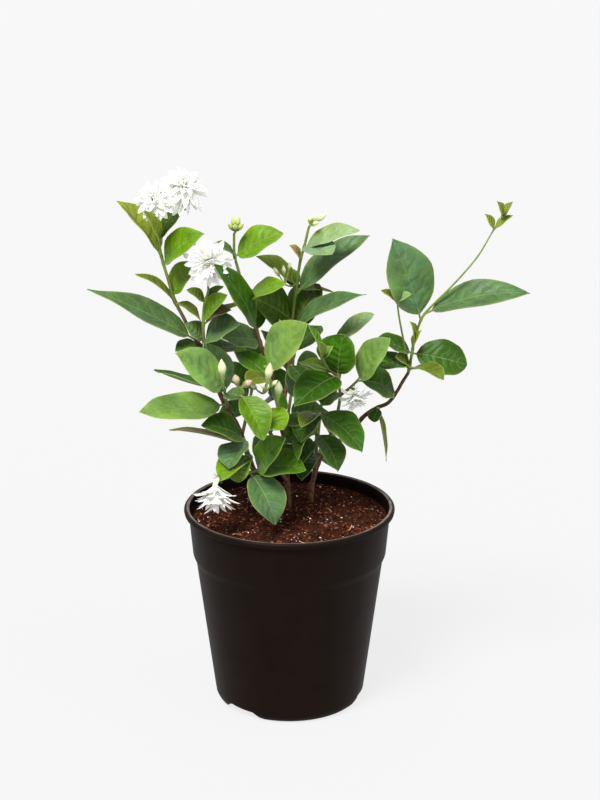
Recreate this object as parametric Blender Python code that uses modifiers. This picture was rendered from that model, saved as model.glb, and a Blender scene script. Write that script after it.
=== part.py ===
"""A potted jasmine: a leafy, double-flowered jasmine growing in a plain nursery pot of soil.

The scene is in metres and the driving dimensions are in millimetres. +Z is up, the front of the pot
faces -Y, and the origin is the centre of the flat face that the pot stands on.
"""

import math
from collections import namedtuple

import bmesh
import bpy
from mathutils import Vector

MM = 0.001
CLEARANCE = 0.3

# Pot
POT_HEIGHT = 152.0
POT_STEPS = 32
LIP_RADIUS = 78.0
LIP_INNER_RADIUS = 73.6
LIP_DEPTH = 4.6
LIP_ROUNDING = (1.6, 2.0)
LIP_DRAFT = 0.3
LIP_FOOT_ROUNDING = 0.8
COLLAR_TOP_RADIUS = 74.6
COLLAR_FOOT_RADIUS = 71.6
STEP_HEIGHT = 116.0
STEP_DROP = 5.0
BODY_TOP_RADIUS = 69.3
BODY_FOOT_RADIUS = 56.0
CORNER_HEIGHT = 9.0
FOOT_RADIUS = 49.0
WALL = 1.6
FLOOR = 2.0

# Drainage bites out of the pot's foot
BITE_HEADINGS = (108, 228, 348)
BITE_HEIGHT = 7.8
BITE_FOOT_WIDTH = 38.0
BITE_TOP_WIDTH = 21.0
BITE_REACH = 18.0

# Soil
SOIL_EDGE_HEIGHT = 143.4
SOIL_MIDDLE_HEIGHT = 145.6
SOIL_RINGS = 4
SOIL_LUMP = 0.9
CANE_HOLE_SIDES = 12

# Foliage and flowers
LEAF_THICKNESS = 0.8
LEAF_STALK_HALF_WIDTH = 0.7
LEAF_STALK_SHARE = 0.08
LEAF_ROW_LENGTHS = (18.0, 34.0, 52.0, 64.0)
PETAL_THICKNESS = 0.8
PETAL_SEGMENTS = (1, 3)
PETAL_ROOT_HALF_WIDTH = 0.6
PETAL_ROOT_OFFSET = 1.2
PETAL_ARCH = 0.12
PETAL_SLIMNESS = 0.46
COROLLA_RADII = (0.9, 2.6)
COROLLA_NECK = 3.0
SEPALS = 3
SEPAL_RADII = (0.55, 0.35)
SEPAL_LENGTH = 6.0
SEPAL_SPREAD = 52
SEPAL_ROOT = 1.4
WHORL_DEPTH = 1.8
WHORL_SPACING = 0.7
BUD_STALK_RADIUS = 0.6
BUD_PROFILE = ((-0.02, 0.35), (0.45, 1.0), (1.0, 0.3))
ROUTE_STEP = 15.0

# Shares of the two powers that draw a blade's outline: how full it is at the root and at the tip
OUTLINES = {
    "broad": (0.62, 0.72),
    "lance": (0.62, 1.15),
    "round": (0.55, 0.5),
    "young": (0.8, 1.1),
    "drop": (0.8, 0.85),
    "petal": (1.2, 0.35),
}

Stem = namedtuple("Stem", "node parent radii route")
Leaf = namedtuple("Leaf", "share heading pitch length width roll fold arch outline")
Frame = namedtuple("Frame", "along across normal")
Bud = namedtuple("Bud", "tip length radius")
Bloom = namedtuple("Bloom", "peduncle centre face diameter whorls")

# Each stem: its node, the stem it sprouts from if that is another node, its radii at the two ends, and
# the points that it grows through.
STEMS = {
    "cane_left": Stem("cane_left", None, (2.4, 1.7), [
        (-19, 9, 106), (-20, 8, 150), (-24, 3, 171), (-31, -4, 195), (-37, -8, 215), (-45, -10, 231),
        (-51, -10, 245), (-56, -9, 261), (-61, -8, 275)]),
    "cane_mid": Stem("cane_mid", None, (2.5, 1.7), [
        (-1, 14, 106), (-1, 14, 150), (-2, 12, 167), (-3, 10, 192), (-6, 8, 216), (-10, 6, 238),
        (-14, 4, 257), (-20, 4, 273)]),
    "cane_right": Stem("cane_right", None, (2.3, 1.2), [
        (16, 26, 106), (16, 26, 150), (18, 30, 162), (24, 32, 179), (36, 32, 190), (47, 30, 200),
        (55, 27, 212), (64, 23, 220), (73, 18, 226), (79, 14, 236), (83, 10, 245), (87, 7, 253)]),
    "left_top": Stem("shoot_left_top", "cane_left", (1.5, 1.0), [
        (-61, -8, 275), (-67, -9, 283), (-72, -10, 292), (-76, -11, 301), (-82, -13, 314), (-85, -14, 326),
        (-89, -15, 341), (-91, -16, 351), (-92, -16, 360)]),
    "left_flower": Stem("shoot_left_top", None, (0.8, 0.7), [
        (-92, -16, 359), (-94, -19, 370), (-94, -22, 379)]),
    "top_flower": Stem("shoot_left_top", None, (0.8, 0.7), [
        (-92, -16, 359), (-87, -14, 369), (-80, -12, 379), (-78, -12, 383)]),
    "left": Stem("shoot_left", "cane_left", (1.3, 0.9), [
        (-45, -10, 231), (-45, -18, 238), (-46, -24, 246), (-46, -28, 253)]),
    "left_bloom": Stem("shoot_left_bloom", "cane_left", (1.3, 0.9), [
        (-56, -9, 263), (-60, -14, 275), (-61, -18, 287), (-61, -21, 300), (-60, -23, 313), (-57, -24, 323)]),
    "mid_flower": Stem("shoot_left_bloom", None, (0.8, 0.7), [
        (-57, -24, 321), (-57, -26, 328), (-57, -29, 335)]),
    "left_low": Stem("shoot_left_low", "cane_left", (1.4, 0.9), [
        (-25, 3, 172), (-28, -8, 189), (-31, -15, 202), (-33, -18, 211)]),
    "rim_flower": Stem("shoot_left_low", None, (0.8, 0.7), [
        (-30, -11, 195), (-37, -21, 193), (-43, -31, 192), (-49, -37, 189)]),
    "centre_left": Stem("shoot_centre_left", "cane_mid", (1.5, 0.9), [
        (-20, 4, 273), (-24, 3, 287), (-28, 1, 304), (-34, -1, 324), (-37, -3, 336), (-39, -4, 345),
        (-39, -5, 357)]),
    "centre": Stem("shoot_centre", "cane_mid", (1.5, 0.9), [
        (-6, 8, 216), (-2, 14, 241), (1, 18, 271), (3, 18, 296), (5, 16, 313), (8, 13, 335),
        (11, 11, 347), (14, 9, 361)]),
    "front": Stem("shoot_front", "cane_mid", (1.4, 0.9), [
        (-10, 6, 238), (-12, -10, 249), (-15, -24, 261), (-17, -32, 270)]),
    "front_low": Stem("shoot_front_low", "cane_mid", (1.5, 1.0), [
        (-3, 10, 192), (-10, -6, 205), (-20, -22, 226), (-28, -34, 242), (-35, -42, 253)]),
    "soil": Stem("shoot_soil", "cane_mid", (1.5, 1.0), [
        (-2, 12, 167), (-8, -4, 180), (-19, -16, 186), (-30, -26, 187)]),
    "right_low": Stem("shoot_right_low", "cane_right", (1.5, 1.0), [
        (18, 30, 162), (20, 18, 187), (20, 4, 210), (21, -8, 228)]),
    "right": Stem("shoot_right", "cane_right", (1.5, 1.0), [
        (24, 32, 179), (33, 22, 207), (37, 8, 231), (36, -4, 249), (35, -8, 257)]),
    "right_inner": Stem("shoot_right", None, (1.2, 0.9), [(35, -7, 255), (28, -12, 262), (24, -15, 271)]),
    "right_outer": Stem("shoot_right", None, (1.3, 0.9), [(37, 5, 236), (44, -2, 244), (50, -8, 252)]),
    "right_thin": Stem("shoot_right", None, (0.9, 0.7), [(36, -4, 249), (38, 6, 262), (31, 10, 272)]),
    "shade_flower": Stem("shoot_right", None, (0.8, 0.7), [
        (42, 0, 241), (45, 3, 242), (47, 3, 242), (47, 1, 242)]),
    "right_tall": Stem("shoot_right_tall", "cane_right", (1.2, 0.6), [
        (87, 7, 253), (89, 5, 267), (91, 3, 280), (96, 0, 297), (105, -3, 309), (114, -5, 319),
        (124, -7, 331), (135, -9, 346), (145, -11, 365), (152, -12, 376)]),
    "right_sprig": Stem("shoot_right_tall", None, (0.8, 0.6), [
        (87, 6, 260), (83, 2, 278), (79, -6, 299), (77, -14, 314)]),
    "right_twig": Stem("twig_right", "cane_right", (1.0, 0.8), [(65, 22, 221), (65, 17, 222), (66, 14, 223)]),
    "back_mid": Stem("shoot_back_mid", "cane_mid", (1.4, 0.9), [
        (-4, 9, 200), (-1, 26, 214), (2, 40, 233), (3, 48, 257)]),
    "back_right": Stem("shoot_back_right", "cane_right", (1.4, 0.9), [
        (17, 28, 152), (19, 46, 169), (22, 56, 190), (24, 60, 211)]),
    "back_left": Stem("shoot_back_left", "cane_left", (1.4, 0.9), [
        (-35, -7, 207), (-32, 16, 215), (-28, 34, 231), (-26, 42, 250)]),
}

# Each leaf: how far along its stem it grows, its heading from +X and pitch from the level in degrees,
# length and width, roll about its own rib and fold along it in degrees, arch in hundredths of its length,
# and outline.
LEAVES = {
    "left_top": [
        (0.79, -34, 38, 44, 28, -54, 20, 8, "broad"),
        (0.85, 173, 53, 50, 30, 16, 28, 5, "broad"),
        (0.97, 31, 45, 33, 19, -2, 20, 6, "broad"),
        (0.97, -104, 45, 41, 14, 92, 20, 5, "broad"),
        (0.48, -165, 39, 35, 12, 22, 26, 6, "broad"),
        (0.51, 12, 59, 30, 26, -22, 14, 6, "broad"),
        (0.46, -31, -24, 24, 14, 0, 25, 6, "lance"),
        (0.10, -163, 31, 90, 27, 32, 16, 2, "lance"),
        (0.03, -148, 3, 22, 20, 6, 20, 6, "broad"),
    ],
    "left_bloom": [
        (0.66, -53, 41, 37, 17, -68, 10, 5, "broad"),
        (0.66, -13, 22, 22, 16, -22, 20, 5, "broad"),
        (0.87, -158, 39, 17, 12, 38, 20, 5, "broad"),
        (0.90, 24, 32, 16, 10, -10, 20, 5, "broad"),
        (0.59, 17, 25, 33, 14, 0, 20, 5, "broad"),
        (0.37, -27, 31, 33, 30, -36, 15, 8, "broad"),
        (0.37, -171, 46, 19, 20, 32, 15, 6, "broad"),
        (0.16, 42, 6, 28, 24, -12, 14, 6, "broad"),
    ],
    "left": [
        (0.94, -138, 40, 56, 30, 64, 10, 5, "broad"),
        (0.70, 174, 70, 42, 28, 40, 12, 4, "broad"),
        (0.94, 161, 11, 55, 22, -10, 20, -5, "broad"),
        (0.30, -147, 7, 72, 29, 30, 14, -3, "broad"),
    ],
    "left_low": [
        (0.97, -148, 28, 39, 28, 34, 16, 8, "broad"),
        (0.85, 164, 8, 59, 20, -12, 14, 3, "broad"),
        (0.97, -119, -32, 27, 30, -16, 14, 6, "broad"),
        (0.63, -124, -12, 37, 26, -2, 14, 6, "broad"),
        (0.68, -108, -38, 25, 26, -30, 12, 6, "round"),
    ],
    "centre_left": [
        (0.84, -17, 30, 41, 28, -40, 12, 6, "broad"),
        (0.86, -144, 32, 20, 12, 36, 24, 4, "broad"),
        (0.16, -114, 46, 90, 24, 86, 14, 4, "broad"),
        (0.13, 126, 68, 36, 24, -16, 14, 4, "broad"),
        (0.45, -45, 26, 42, 20, -40, 12, 6, "broad"),
        (0.05, -157, 13, 30, 32, 24, 12, 5, "broad"),
    ],
    "centre": [
        (0.89, -26, 24, 47, 20, -34, 14, 7, "broad"),
        (0.90, -55, 4, 34, 22, -20, 10, 5, "round"),
        (0.64, 5, 40, 69, 28, -24, 18, 5, "broad"),
        (0.83, -132, 48, 17, 10, 60, 24, 4, "broad"),
        (0.69, -173, 39, 37, 20, 28, 24, 6, "broad"),
        (0.67, 148, 53, 19, 18, 6, 14, 5, "broad"),
        (0.50, -158, 36, 34, 36, 48, 10, 5, "round"),
        (0.44, 15, 61, 41, 34, -28, 10, 5, "round"),
        (0.47, -40, 30, 77, 25, -36, 16, 4, "lance"),
        (0.28, -29, -79, 25, 22, -10, 10, 5, "broad"),
        (0.28, -49, -30, 31, 24, 4, 10, 5, "broad"),
        (0.67, 26, -11, 33, 10, -12, 14, 5, "lance"),
        (0.24, 167, 58, 37, 22, 12, 14, 6, "broad"),
    ],
    "front": [
        (0.97, -32, 48, 51, 34, -64, 12, 5, "broad"),
        (0.64, 147, 27, 33, 24, 6, 10, 5, "broad"),
        (0.64, -123, 13, 30, 16, 26, 8, 5, "round"),
        (0.32, -77, -28, 29, 16, 36, 14, 5, "broad"),
    ],
    "front_low": [
        (0.99, -50, -46, 38, 29, -8, 30, 8, "broad"),
        (0.67, -55, -3, 33, 26, -12, 12, 10, "round"),
        (0.92, 144, 2, 17, 17, 18, 10, 5, "round"),
    ],
    "soil": [
        (0.84, -52, 46, 47, 26, -76, 14, 6, "broad"),
        (0.86, -20, 10, 39, 32, -22, 12, 10, "broad"),
        (0.97, -46, -49, 43, 32, -8, 14, 10, "broad"),
        (0.60, -1, 42, 27, 22, -32, 14, 8, "broad"),
        (0.75, 90, 37, 31, 26, -36, 14, 6, "broad"),
    ],
    "right_low": [
        (0.77, -149, 15, 28, 18, 22, 10, 10, "round"),
        (0.97, -111, 2, 34, 16, 0, 14, 8, "broad"),
        (0.97, -24, -34, 43, 34, -12, 14, 10, "broad"),
        (0.97, -126, -36, 27, 26, -8, 14, 10, "broad"),
        (0.66, -110, -8, 43, 20, -30, 26, 10, "lance"),
        (0.66, -52, -40, 34, 26, 6, 14, 10, "broad"),
        (0.55, -143, -36, 30, 24, 6, 14, 10, "broad"),
        (0.81, -161, -25, 27, 28, 20, 14, 8, "broad"),
        (0.37, -113, -23, 31, 22, -16, 14, 8, "broad"),
    ],
    "right": [
        (0.97, -126, -8, 53, 31, 18, 12, 8, "broad"),
        (0.97, -18, 84, 32, 36, -72, 14, 4, "round"),
    ],
    "right_inner": [
        (0.09, 153, 11, 31, 18, 4, 10, 5, "broad"),
        (0.97, 140, 61, 27, 12, -18, 20, 3, "broad"),
        (0.97, -98, 46, 25, 9, 116, 14, 4, "young"),
        (0.97, -23, 54, 13, 9, -50, 14, 4, "young"),
    ],
    "right_outer": [
        (0.97, -40, 53, 47, 27, -70, 14, 5, "broad"),
        (0.97, 27, -22, 34, 36, -34, 14, 8, "broad"),
    ],
    "right_thin": [
        (0.97, -15, 43, 41, 17, -38, 14, 5, "round"),
    ],
    "right_tall": [
        (0.30, -149, 69, 68, 41, 90, 14, 3, "drop"),
        (0.34, -13, 16, 78, 29, -30, 14, 8, "broad"),
        (0.11, -4, -11, 41, 29, -48, 8, 5, "round"),
        (0.02, -61, 8, 47, 22, -2, 20, 6, "broad"),
        (0.11, -162, 26, 31, 22, 24, 14, 3, "broad"),
        (0.05, -152, 5, 25, 22, 20, 14, 10, "round"),
        (0.91, -156, 58, 14, 9, 52, 14, 5, "young"),
        (0.91, -14, 41, 17, 9, -30, 14, 5, "young"),
        (0.98, -106, 43, 23, 9, 92, 14, 5, "young"),
        (0.98, -17, 60, 14, 9, -42, 14, 5, "young"),
        (0.02, -176, 39, 19, 12, 18, 14, 5, "broad"),
        (0.03, -126, 36, 22, 14, 48, 14, 6, "broad"),
        (0.17, -106, 62, 21, 12, 90, 14, 6, "young"),
        (0.13, -67, 54, 23, 9, -82, 14, 6, "young"),
    ],
    "right_sprig": [
        (0.97, -150, 38, 17, 9, 42, 20, 5, "broad"),
        (0.97, -27, 34, 13, 9, -36, 20, 5, "broad"),
    ],
    "right_twig": [
        (0.88, -119, -50, 11, 13, -14, 10, 5, "round"),
        (0.76, -27, -78, 41, 9, 10, 24, 1, "lance"),
    ],
    "back_mid": [
        (0.90, 145, 20, 25, 24, 10, 14, 6, "broad"),
        (0.97, 46, 27, 34, 26, -6, 14, 8, "broad"),
        (0.82, 120, -1, 48, 28, 8, 14, 8, "broad"),
        (0.82, 50, -19, 38, 28, -50, 14, 10, "broad"),
        (0.58, 112, -25, 54, 28, 54, 14, 10, "broad"),
        (0.72, 157, -35, 25, 26, 42, 14, 6, "broad"),
        (0.30, 33, -6, 38, 26, -22, 14, 6, "broad"),
    ],
    "back_right": [
        (0.97, 96, 15, 43, 28, -22, 14, 8, "broad"),
        (0.97, 25, 33, 17, 26, -6, 14, 8, "broad"),
        (0.85, 119, -23, 42, 28, 50, 14, 8, "broad"),
        (0.85, 75, -34, 52, 26, -90, 14, 10, "broad"),
        (0.42, 136, -4, 31, 26, 22, 14, 8, "broad"),
        (0.42, 73, -18, 43, 24, -68, 14, 8, "broad"),
    ],
    "back_left": [
        (0.97, -158, 71, 34, 24, 50, 14, 6, "broad"),
        (0.97, 112, 29, 28, 24, 14, 14, 6, "broad"),
        (0.70, 147, 22, 35, 28, 8, 14, 8, "broad"),
        (0.70, 86, -3, 52, 28, 36, 14, 10, "broad"),
        (0.41, 161, -13, 27, 28, 18, 14, 8, "broad"),
        (0.41, 78, -35, 58, 28, -94, 14, 10, "broad"),
        (0.59, 110, -22, 47, 28, 42, 14, 10, "broad"),
    ],
}

# Bud stalks: a node of their own where they carry a bunch, or else fused to the shoot.
BUD_STEMS = {
    "top_left_buds": Stem("buds_centre_left", "centre_left", (0.9, 0.9), [
        (-39, -5, 357), (-39, -6, 360), (-38, -6, 362)]),
    "top_buds": Stem("buds_centre", "centre", (0.9, 0.9), [(14, 9, 361), (15, 8, 363)]),
    "front_buds": Stem("buds_front", "front", (0.7, 0.7), [
        (-14, -19, 257), (-18, -29, 252), (-18, -40, 253), (-16, -46, 257)]),
    "club_bud": Stem("shoot_front_low", None, (0.8, 0.8), [
        (-13, -12, 214), (-9, -26, 225), (-8, -34, 236), (-8, -38, 245)]),
    "left_buds": Stem("buds_left", "left", (0.7, 0.7), [
        (-46, -26, 248), (-46, -36, 255), (-46, -50, 261), (-46, -59, 267)]),
    "low_buds": Stem("buds_front_low", "front_low", (0.9, 0.9), [(-35, -42, 253), (-36, -44, 257)]),
    "middle_bud": Stem("shoot_front", None, (0.7, 0.7), [(-12, -11, 250), (-18, -20, 246), (-22, -28, 250)]),
    "inner_bud": Stem("shoot_centre", None, (0.6, 0.6), [(2, 18, 282), (-2, 10, 281), (-4, 2, 286)]),
    "side_buds": Stem("shoot_centre", None, (0.6, 0.6), [(5, 16, 317), (1, 4, 319), (-3, -2, 322)]),
}

# Each bud: where its tip is, its length and its radius.
BUDS = {
    "top_left_buds": [
        Bud((-43, -11, 369), 10, 1.8), Bud((-40, -6, 373), 11, 1.9), Bud((-35, -6, 373), 11, 1.8),
        Bud((-32, -10, 369), 10, 1.8), Bud((-33, 1, 366), 8, 1.6), Bud((-38, -14, 369), 8, 1.8)],
    "top_buds": [
        Bud((27, 7, 372), 13, 2.0), Bud((21, 12, 370), 9, 1.8), Bud((15, 9, 371), 9, 1.8),
        Bud((21, 2, 367), 8, 1.7)],
    "front_buds": [Bud((-13, -52, 279), 18, 2.9), Bud((-8, -48, 265), 8, 1.6), Bud((-20, -50, 263), 8, 1.3)],
    "club_bud": [Bud((-7, -38, 261), 14, 2.9)],
    "left_buds": [Bud((-47, -62, 285), 18, 3.0)],
    "low_buds": [Bud((-38, -48, 269), 10, 2.7), Bud((-26, -46, 264), 9, 2.5)],
    "middle_bud": [Bud((-27, -34, 258), 8, 1.9)],
    "inner_bud": [Bud((-7, -2, 296), 9, 1.5)],
    "side_buds": [Bud((-11, -6, 336), 9, 1.5), Bud((-4, -4, 337), 9, 1.5), Bud((1, 0, 338), 7, 1.3)],
}

# Each bloom: the stem that carries it, where its throat is, which way it faces, its diameter, and its whorls
# of petals from the outermost in, as a count, a spread from the bloom's axis in degrees and a share of the
# full length.
BLOOMS = {
    "bloom_left": Bloom(
        "left_flower", (-94, -27, 390), (-2, -9, 3), 28, [(8, 88, 1.0), (6, 58, 0.9), (4, 24, 0.75)]),
    "bloom_top": Bloom(
        "top_flower", (-74, -14, 396), (3, -7, 6), 35, [(8, 92, 1.0), (6, 62, 0.95), (4, 26, 0.8)]),
    "bloom_mid": Bloom(
        "mid_flower", (-56, -38, 349), (0, -9, -1), 34, [(8, 90, 1.0), (7, 60, 0.95), (4, 26, 0.8)]),
    "bloom_rim": Bloom(
        "rim_flower", (-53, -43, 182), (0, -4, -9), 38, [(6, 70, 0.85), (6, 42, 1.0)]),
    "bloom_shade": Bloom(
        "shade_flower", (48, -6, 239), (1, -7, -7), 25, [(6, 90, 1.0), (5, 50, 0.85)]),
}

# Linear colour, roughness
FINISHES = {
    "dark_plastic": ((0.020, 0.014, 0.011), 0.45),
    "peat": ((0.050, 0.018, 0.010), 0.95),
    "bark": ((0.120, 0.055, 0.028), 0.80),
    "foliage": ((0.110, 0.210, 0.035), 0.45),
    "petals": ((0.850, 0.840, 0.760), 0.55),
    "buds": ((0.480, 0.560, 0.240), 0.50),
}


def clear_scene():
    """Empty the scene and name the collection that the parts go in."""
    for obj in list(bpy.data.objects):
        bpy.data.objects.remove(obj, do_unlink=True)
    parts = bpy.data.collections.new("potted_jasmine")
    bpy.context.scene.collection.children.link(parts)
    return parts


def make_finish(name):
    """A Principled material from the table of finishes."""
    colour, roughness = FINISHES[name]
    material = bpy.data.materials.new(name)
    material.use_nodes = True
    shader = material.node_tree.nodes["Principled BSDF"]
    shader.inputs["Base Color"].default_value = (*colour, 1.0)
    shader.inputs["Roughness"].default_value = roughness
    shader.inputs["Metallic"].default_value = 0.0
    return material


def bake(obj):
    """Give a mesh object the shape that its modifiers make, and drop them."""
    graph = bpy.context.evaluated_depsgraph_get()
    shape = bpy.data.meshes.new_from_object(obj.evaluated_get(graph))
    obj.modifiers.clear()
    obj.data = shape


def add_mesh(name, shape, collection):
    """Put a mesh in a collection as a new object."""
    obj = bpy.data.objects.new(name, shape)
    collection.objects.link(obj)
    return obj


def smooth_route(points):
    """A Catmull-Rom curve through a stem's points, in short straight runs."""
    knots = [Vector(point) for point in points]
    knots = [2 * knots[0] - knots[1]] + knots + [2 * knots[-1] - knots[-2]]
    route = []
    for before, start, end, after in zip(knots, knots[1:], knots[2:], knots[3:]):
        runs = max(1, round((end - start).length / ROUTE_STEP))
        for run in range(runs):
            t = run / runs
            straight = 2 * start + (end - before) * t
            bend = (2 * before - 5 * start + 4 * end - after) * t**2
            turn = (3 * start - 3 * end + after - before) * t**3
            route.append((straight + bend + turn) / 2)
    route.append(knots[-2])
    return route


def point_along(route, share):
    """The point at this share of a route's length."""
    lengths = [(end - start).length for start, end in zip(route, route[1:])]
    left = share * sum(lengths)
    for start, end, length in zip(route, route[1:], lengths):
        if left <= length:
            return start.lerp(end, left / length)
        left -= length
    return route[-1].copy()


def stem_clearance(point, route, radii):
    """How far a point is from a flat-ended stem, and less than nothing inside it."""
    nearest = math.inf
    count = len(route) - 1
    for index, (start, end) in enumerate(zip(route, route[1:])):
        run = end - start
        share = (point - start).dot(run) / run.length_squared
        within = min(max(share, 0.0), 1.0)
        radius = radii[0] + (radii[1] - radii[0]) * (index + within) / count
        if index == count - 1 and share > 1.0:
            beyond = (share - 1.0) * run.length
            aside = (point - start - run * share).length - radius
            nearest = min(nearest, math.hypot(beyond, max(aside, 0.0)))
        else:
            nearest = min(nearest, (point - start.lerp(end, within)).length - radius)
    return nearest


def sprout(stem, routes, stems):
    """A stem's route, started where its root just clears the stem that it grows from."""
    route = routes[stem]
    if stems[stem].parent is None:
        return route
    parent_route = routes[stems[stem].parent]
    parent_radii = stems[stems[stem].parent].radii
    first_run = (route[1] - route[0]).normalized()
    total = sum((end - start).length for start, end in zip(route, route[1:]))
    walked = 0.0
    while walked < total / 2:
        root = point_along(route, walked / total)
        across = first_run.orthogonal().normalized() * stems[stem].radii[0]
        other = first_run.cross(across)
        turns = [math.radians(angle) for angle in range(0, 360, 30)]
        ring = [root + across * math.cos(turn) + other * math.sin(turn) for turn in turns]
        if min(stem_clearance(point, parent_route, parent_radii) for point in ring) >= CLEARANCE:
            break
        walked += 0.1
    passed = 0.0
    kept = [root]
    for start, end in zip(route, route[1:]):
        passed += (end - start).length
        if passed > walked + 1.0:
            kept.append(end)
    return kept


def tube(name, route, radii, collection, sides=6):
    """A round solid along a route, its radius going from point to point as given."""
    curve = bpy.data.curves.new(name, "CURVE")
    curve.dimensions = "3D"
    curve.bevel_depth = MM
    curve.bevel_resolution = (sides - 4) // 2
    curve.use_fill_caps = True
    spline = curve.splines.new("POLY")
    spline.points.add(len(route) - 1)
    for point, place, radius in zip(spline.points, route, radii):
        point.co = (*(Vector(place) * MM), 1.0)
        point.radius = radius
    guide = bpy.data.objects.new(name, curve)
    collection.objects.link(guide)
    graph = bpy.context.evaluated_depsgraph_get()
    shape = bpy.data.meshes.new_from_object(guide.evaluated_get(graph))
    bpy.data.objects.remove(guide)
    welded = bmesh.new()
    welded.from_mesh(shape)
    bmesh.ops.remove_doubles(welded, verts=welded.verts, dist=1e-6)
    bmesh.ops.triangulate(welded, faces=welded.faces)
    welded.to_mesh(shape)
    welded.free()
    return add_mesh(name, shape, collection)


def taper(radii, count):
    """Radii that go evenly from the first to the last."""
    return [radii[0] + (radii[1] - radii[0]) * index / (count - 1) for index in range(count)]


def half_width(share, outline, width, stalk_share, least):
    """Half a blade's width at this share of its length."""
    root, tip = OUTLINES[outline]
    along = min(max((share - stalk_share) / (1 - stalk_share), 0.0), 1.0)
    peak = (root / (root + tip)) ** root * (tip / (root + tip)) ** tip
    half = width / 2 * along**root * (1 - along) ** tip / peak
    return max(half, least) if 0.001 < share < 0.999 else 0.0


def leaf_frame(heading, pitch, roll):
    """A leaf's directions along its rib, across it and out of its upper face."""
    heading, pitch, roll = (math.radians(angle) for angle in (heading, pitch, roll))
    level = Vector((math.cos(heading), math.sin(heading), 0.0))
    along = level * math.cos(pitch) + Vector((0.0, 0.0, math.sin(pitch)))
    side = Vector((math.sin(heading), -math.cos(heading), 0.0))
    up = side.cross(along)
    across = side * math.cos(roll) + up * math.sin(roll)
    normal = up * math.cos(roll) - side * math.sin(roll)
    return Frame(along, across, normal)


def blade(name, root, frame, length, arch, fold, widths, segments, thickness, collection):
    """A thin folded and arched blade, from a grid that is bent to its outline and given a thickness."""
    grid = bmesh.new()
    bmesh.ops.create_grid(grid, x_segments=segments[0], y_segments=segments[1], size=1)
    for vert in grid.verts:
        side = vert.co.x
        share = (vert.co.y + 1) / 2
        half = widths(share)
        angle = math.radians(fold) * min(1.0, 4 * (1 - share) + 0.3)
        lift = arch * length * 4 * share * (1 - share) + abs(side) * half * math.sin(angle)
        place = root + frame.along * share * length + frame.normal * lift
        place += frame.across * side * half * math.cos(angle)
        vert.co = place * MM
    bmesh.ops.remove_doubles(grid, verts=grid.verts, dist=1e-6)
    bmesh.ops.triangulate(grid, faces=grid.faces)
    shape = bpy.data.meshes.new(name)
    grid.to_mesh(shape)
    grid.free()
    obj = add_mesh(name, shape, collection)
    solid = obj.modifiers.new("thickness", "SOLIDIFY")
    solid.thickness = thickness * MM
    solid.offset = 0.0
    bake(obj)
    return obj


def leaf_blade(name, leaf, route, collection):
    """One leaf, its stalk sunk in its stem."""
    rows = 2 + sum(leaf.length > least for least in LEAF_ROW_LENGTHS)

    def widths(share):
        return half_width(share, leaf.outline, leaf.width, LEAF_STALK_SHARE, LEAF_STALK_HALF_WIDTH)

    root = point_along(route, leaf.share)
    frame = leaf_frame(leaf.heading, leaf.pitch, leaf.roll)
    arch = leaf.arch / 100
    return blade(
        name, root, frame, leaf.length, arch, leaf.fold, widths, (2, rows), LEAF_THICKNESS, collection)


def bud_pieces(name, bud, stalk_end, collection):
    """A bud on its own short stalk."""
    tip = Vector(bud.tip)
    along = (tip - stalk_end).normalized()
    foot = tip - along * min(bud.length, 0.95 * (tip - stalk_end).length)
    route = [foot + (tip - foot) * share for share, _ in BUD_PROFILE]
    radii = [bud.radius * size for _, size in BUD_PROFILE]
    stalk_route = [stalk_end - along * BUD_STALK_RADIUS, foot + along * BUD_STALK_RADIUS]
    stalk = tube(name + "_stalk", stalk_route, [BUD_STALK_RADIUS] * 2, collection, 4)
    return [stalk, tube(name, route, radii, collection)]


def sepal_pieces(name, stem_route, collection):
    """The thin green sepals round a bloom's root, as they stand out from its stem."""
    end = stem_route[-1]
    axis = (end - stem_route[-2]).normalized()
    aside = axis.orthogonal().normalized()
    other = axis.cross(aside)
    spread = math.radians(SEPAL_SPREAD)
    pieces = []
    for index in range(SEPALS):
        turn = 2 * math.pi * index / SEPALS
        out = aside * math.cos(turn) + other * math.sin(turn)
        along = axis * math.cos(spread) + out * math.sin(spread)
        root = end - axis * SEPAL_ROOT
        route = [root, root + along * SEPAL_LENGTH]
        pieces.append(tube(f"{name}_sepal_{index}", route, SEPAL_RADII, collection, 4))
    return pieces


def bloom_pieces(name, bloom, stem_end, collection):
    """A corolla tube that bends to the way the bloom faces, with whorls of petals round its throat."""
    centre = Vector(bloom.centre)
    axis = Vector(bloom.face).normalized()
    neck = centre - axis * COROLLA_NECK
    root = stem_end + (neck - stem_end).normalized() * CLEARANCE
    aside = axis.cross(Vector((0.3, 1.0, 0.2))).normalized()
    other = axis.cross(aside)
    corolla = [root, (root + neck) / 2, neck, centre]
    pieces = [tube(name + "_corolla", corolla, taper(COROLLA_RADII, len(corolla)), collection)]
    for whorl, (count, spread, share) in enumerate(bloom.whorls):
        lean = math.radians(spread)
        length = bloom.diameter / 2 * share
        width = PETAL_SLIMNESS * length

        def widths(along, width=width):
            return half_width(along, "petal", width, 0.0, PETAL_ROOT_HALF_WIDTH)

        for index in range(count):
            turn = 2 * math.pi * (index + whorl / 2) / count
            out = aside * math.cos(turn) + other * math.sin(turn)
            along = axis * math.cos(lean) + out * math.sin(lean)
            across = along.cross(axis).normalized()
            frame = Frame(along, across, across.cross(along))
            root = centre - axis * (WHORL_DEPTH - WHORL_SPACING * whorl) + out * PETAL_ROOT_OFFSET
            pieces.append(blade(
                f"{name}_petal_{whorl}_{index}", root, frame, length - PETAL_ROOT_OFFSET, PETAL_ARCH,
                0.0, widths, PETAL_SEGMENTS, PETAL_THICKNESS, collection))
    return pieces


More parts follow.
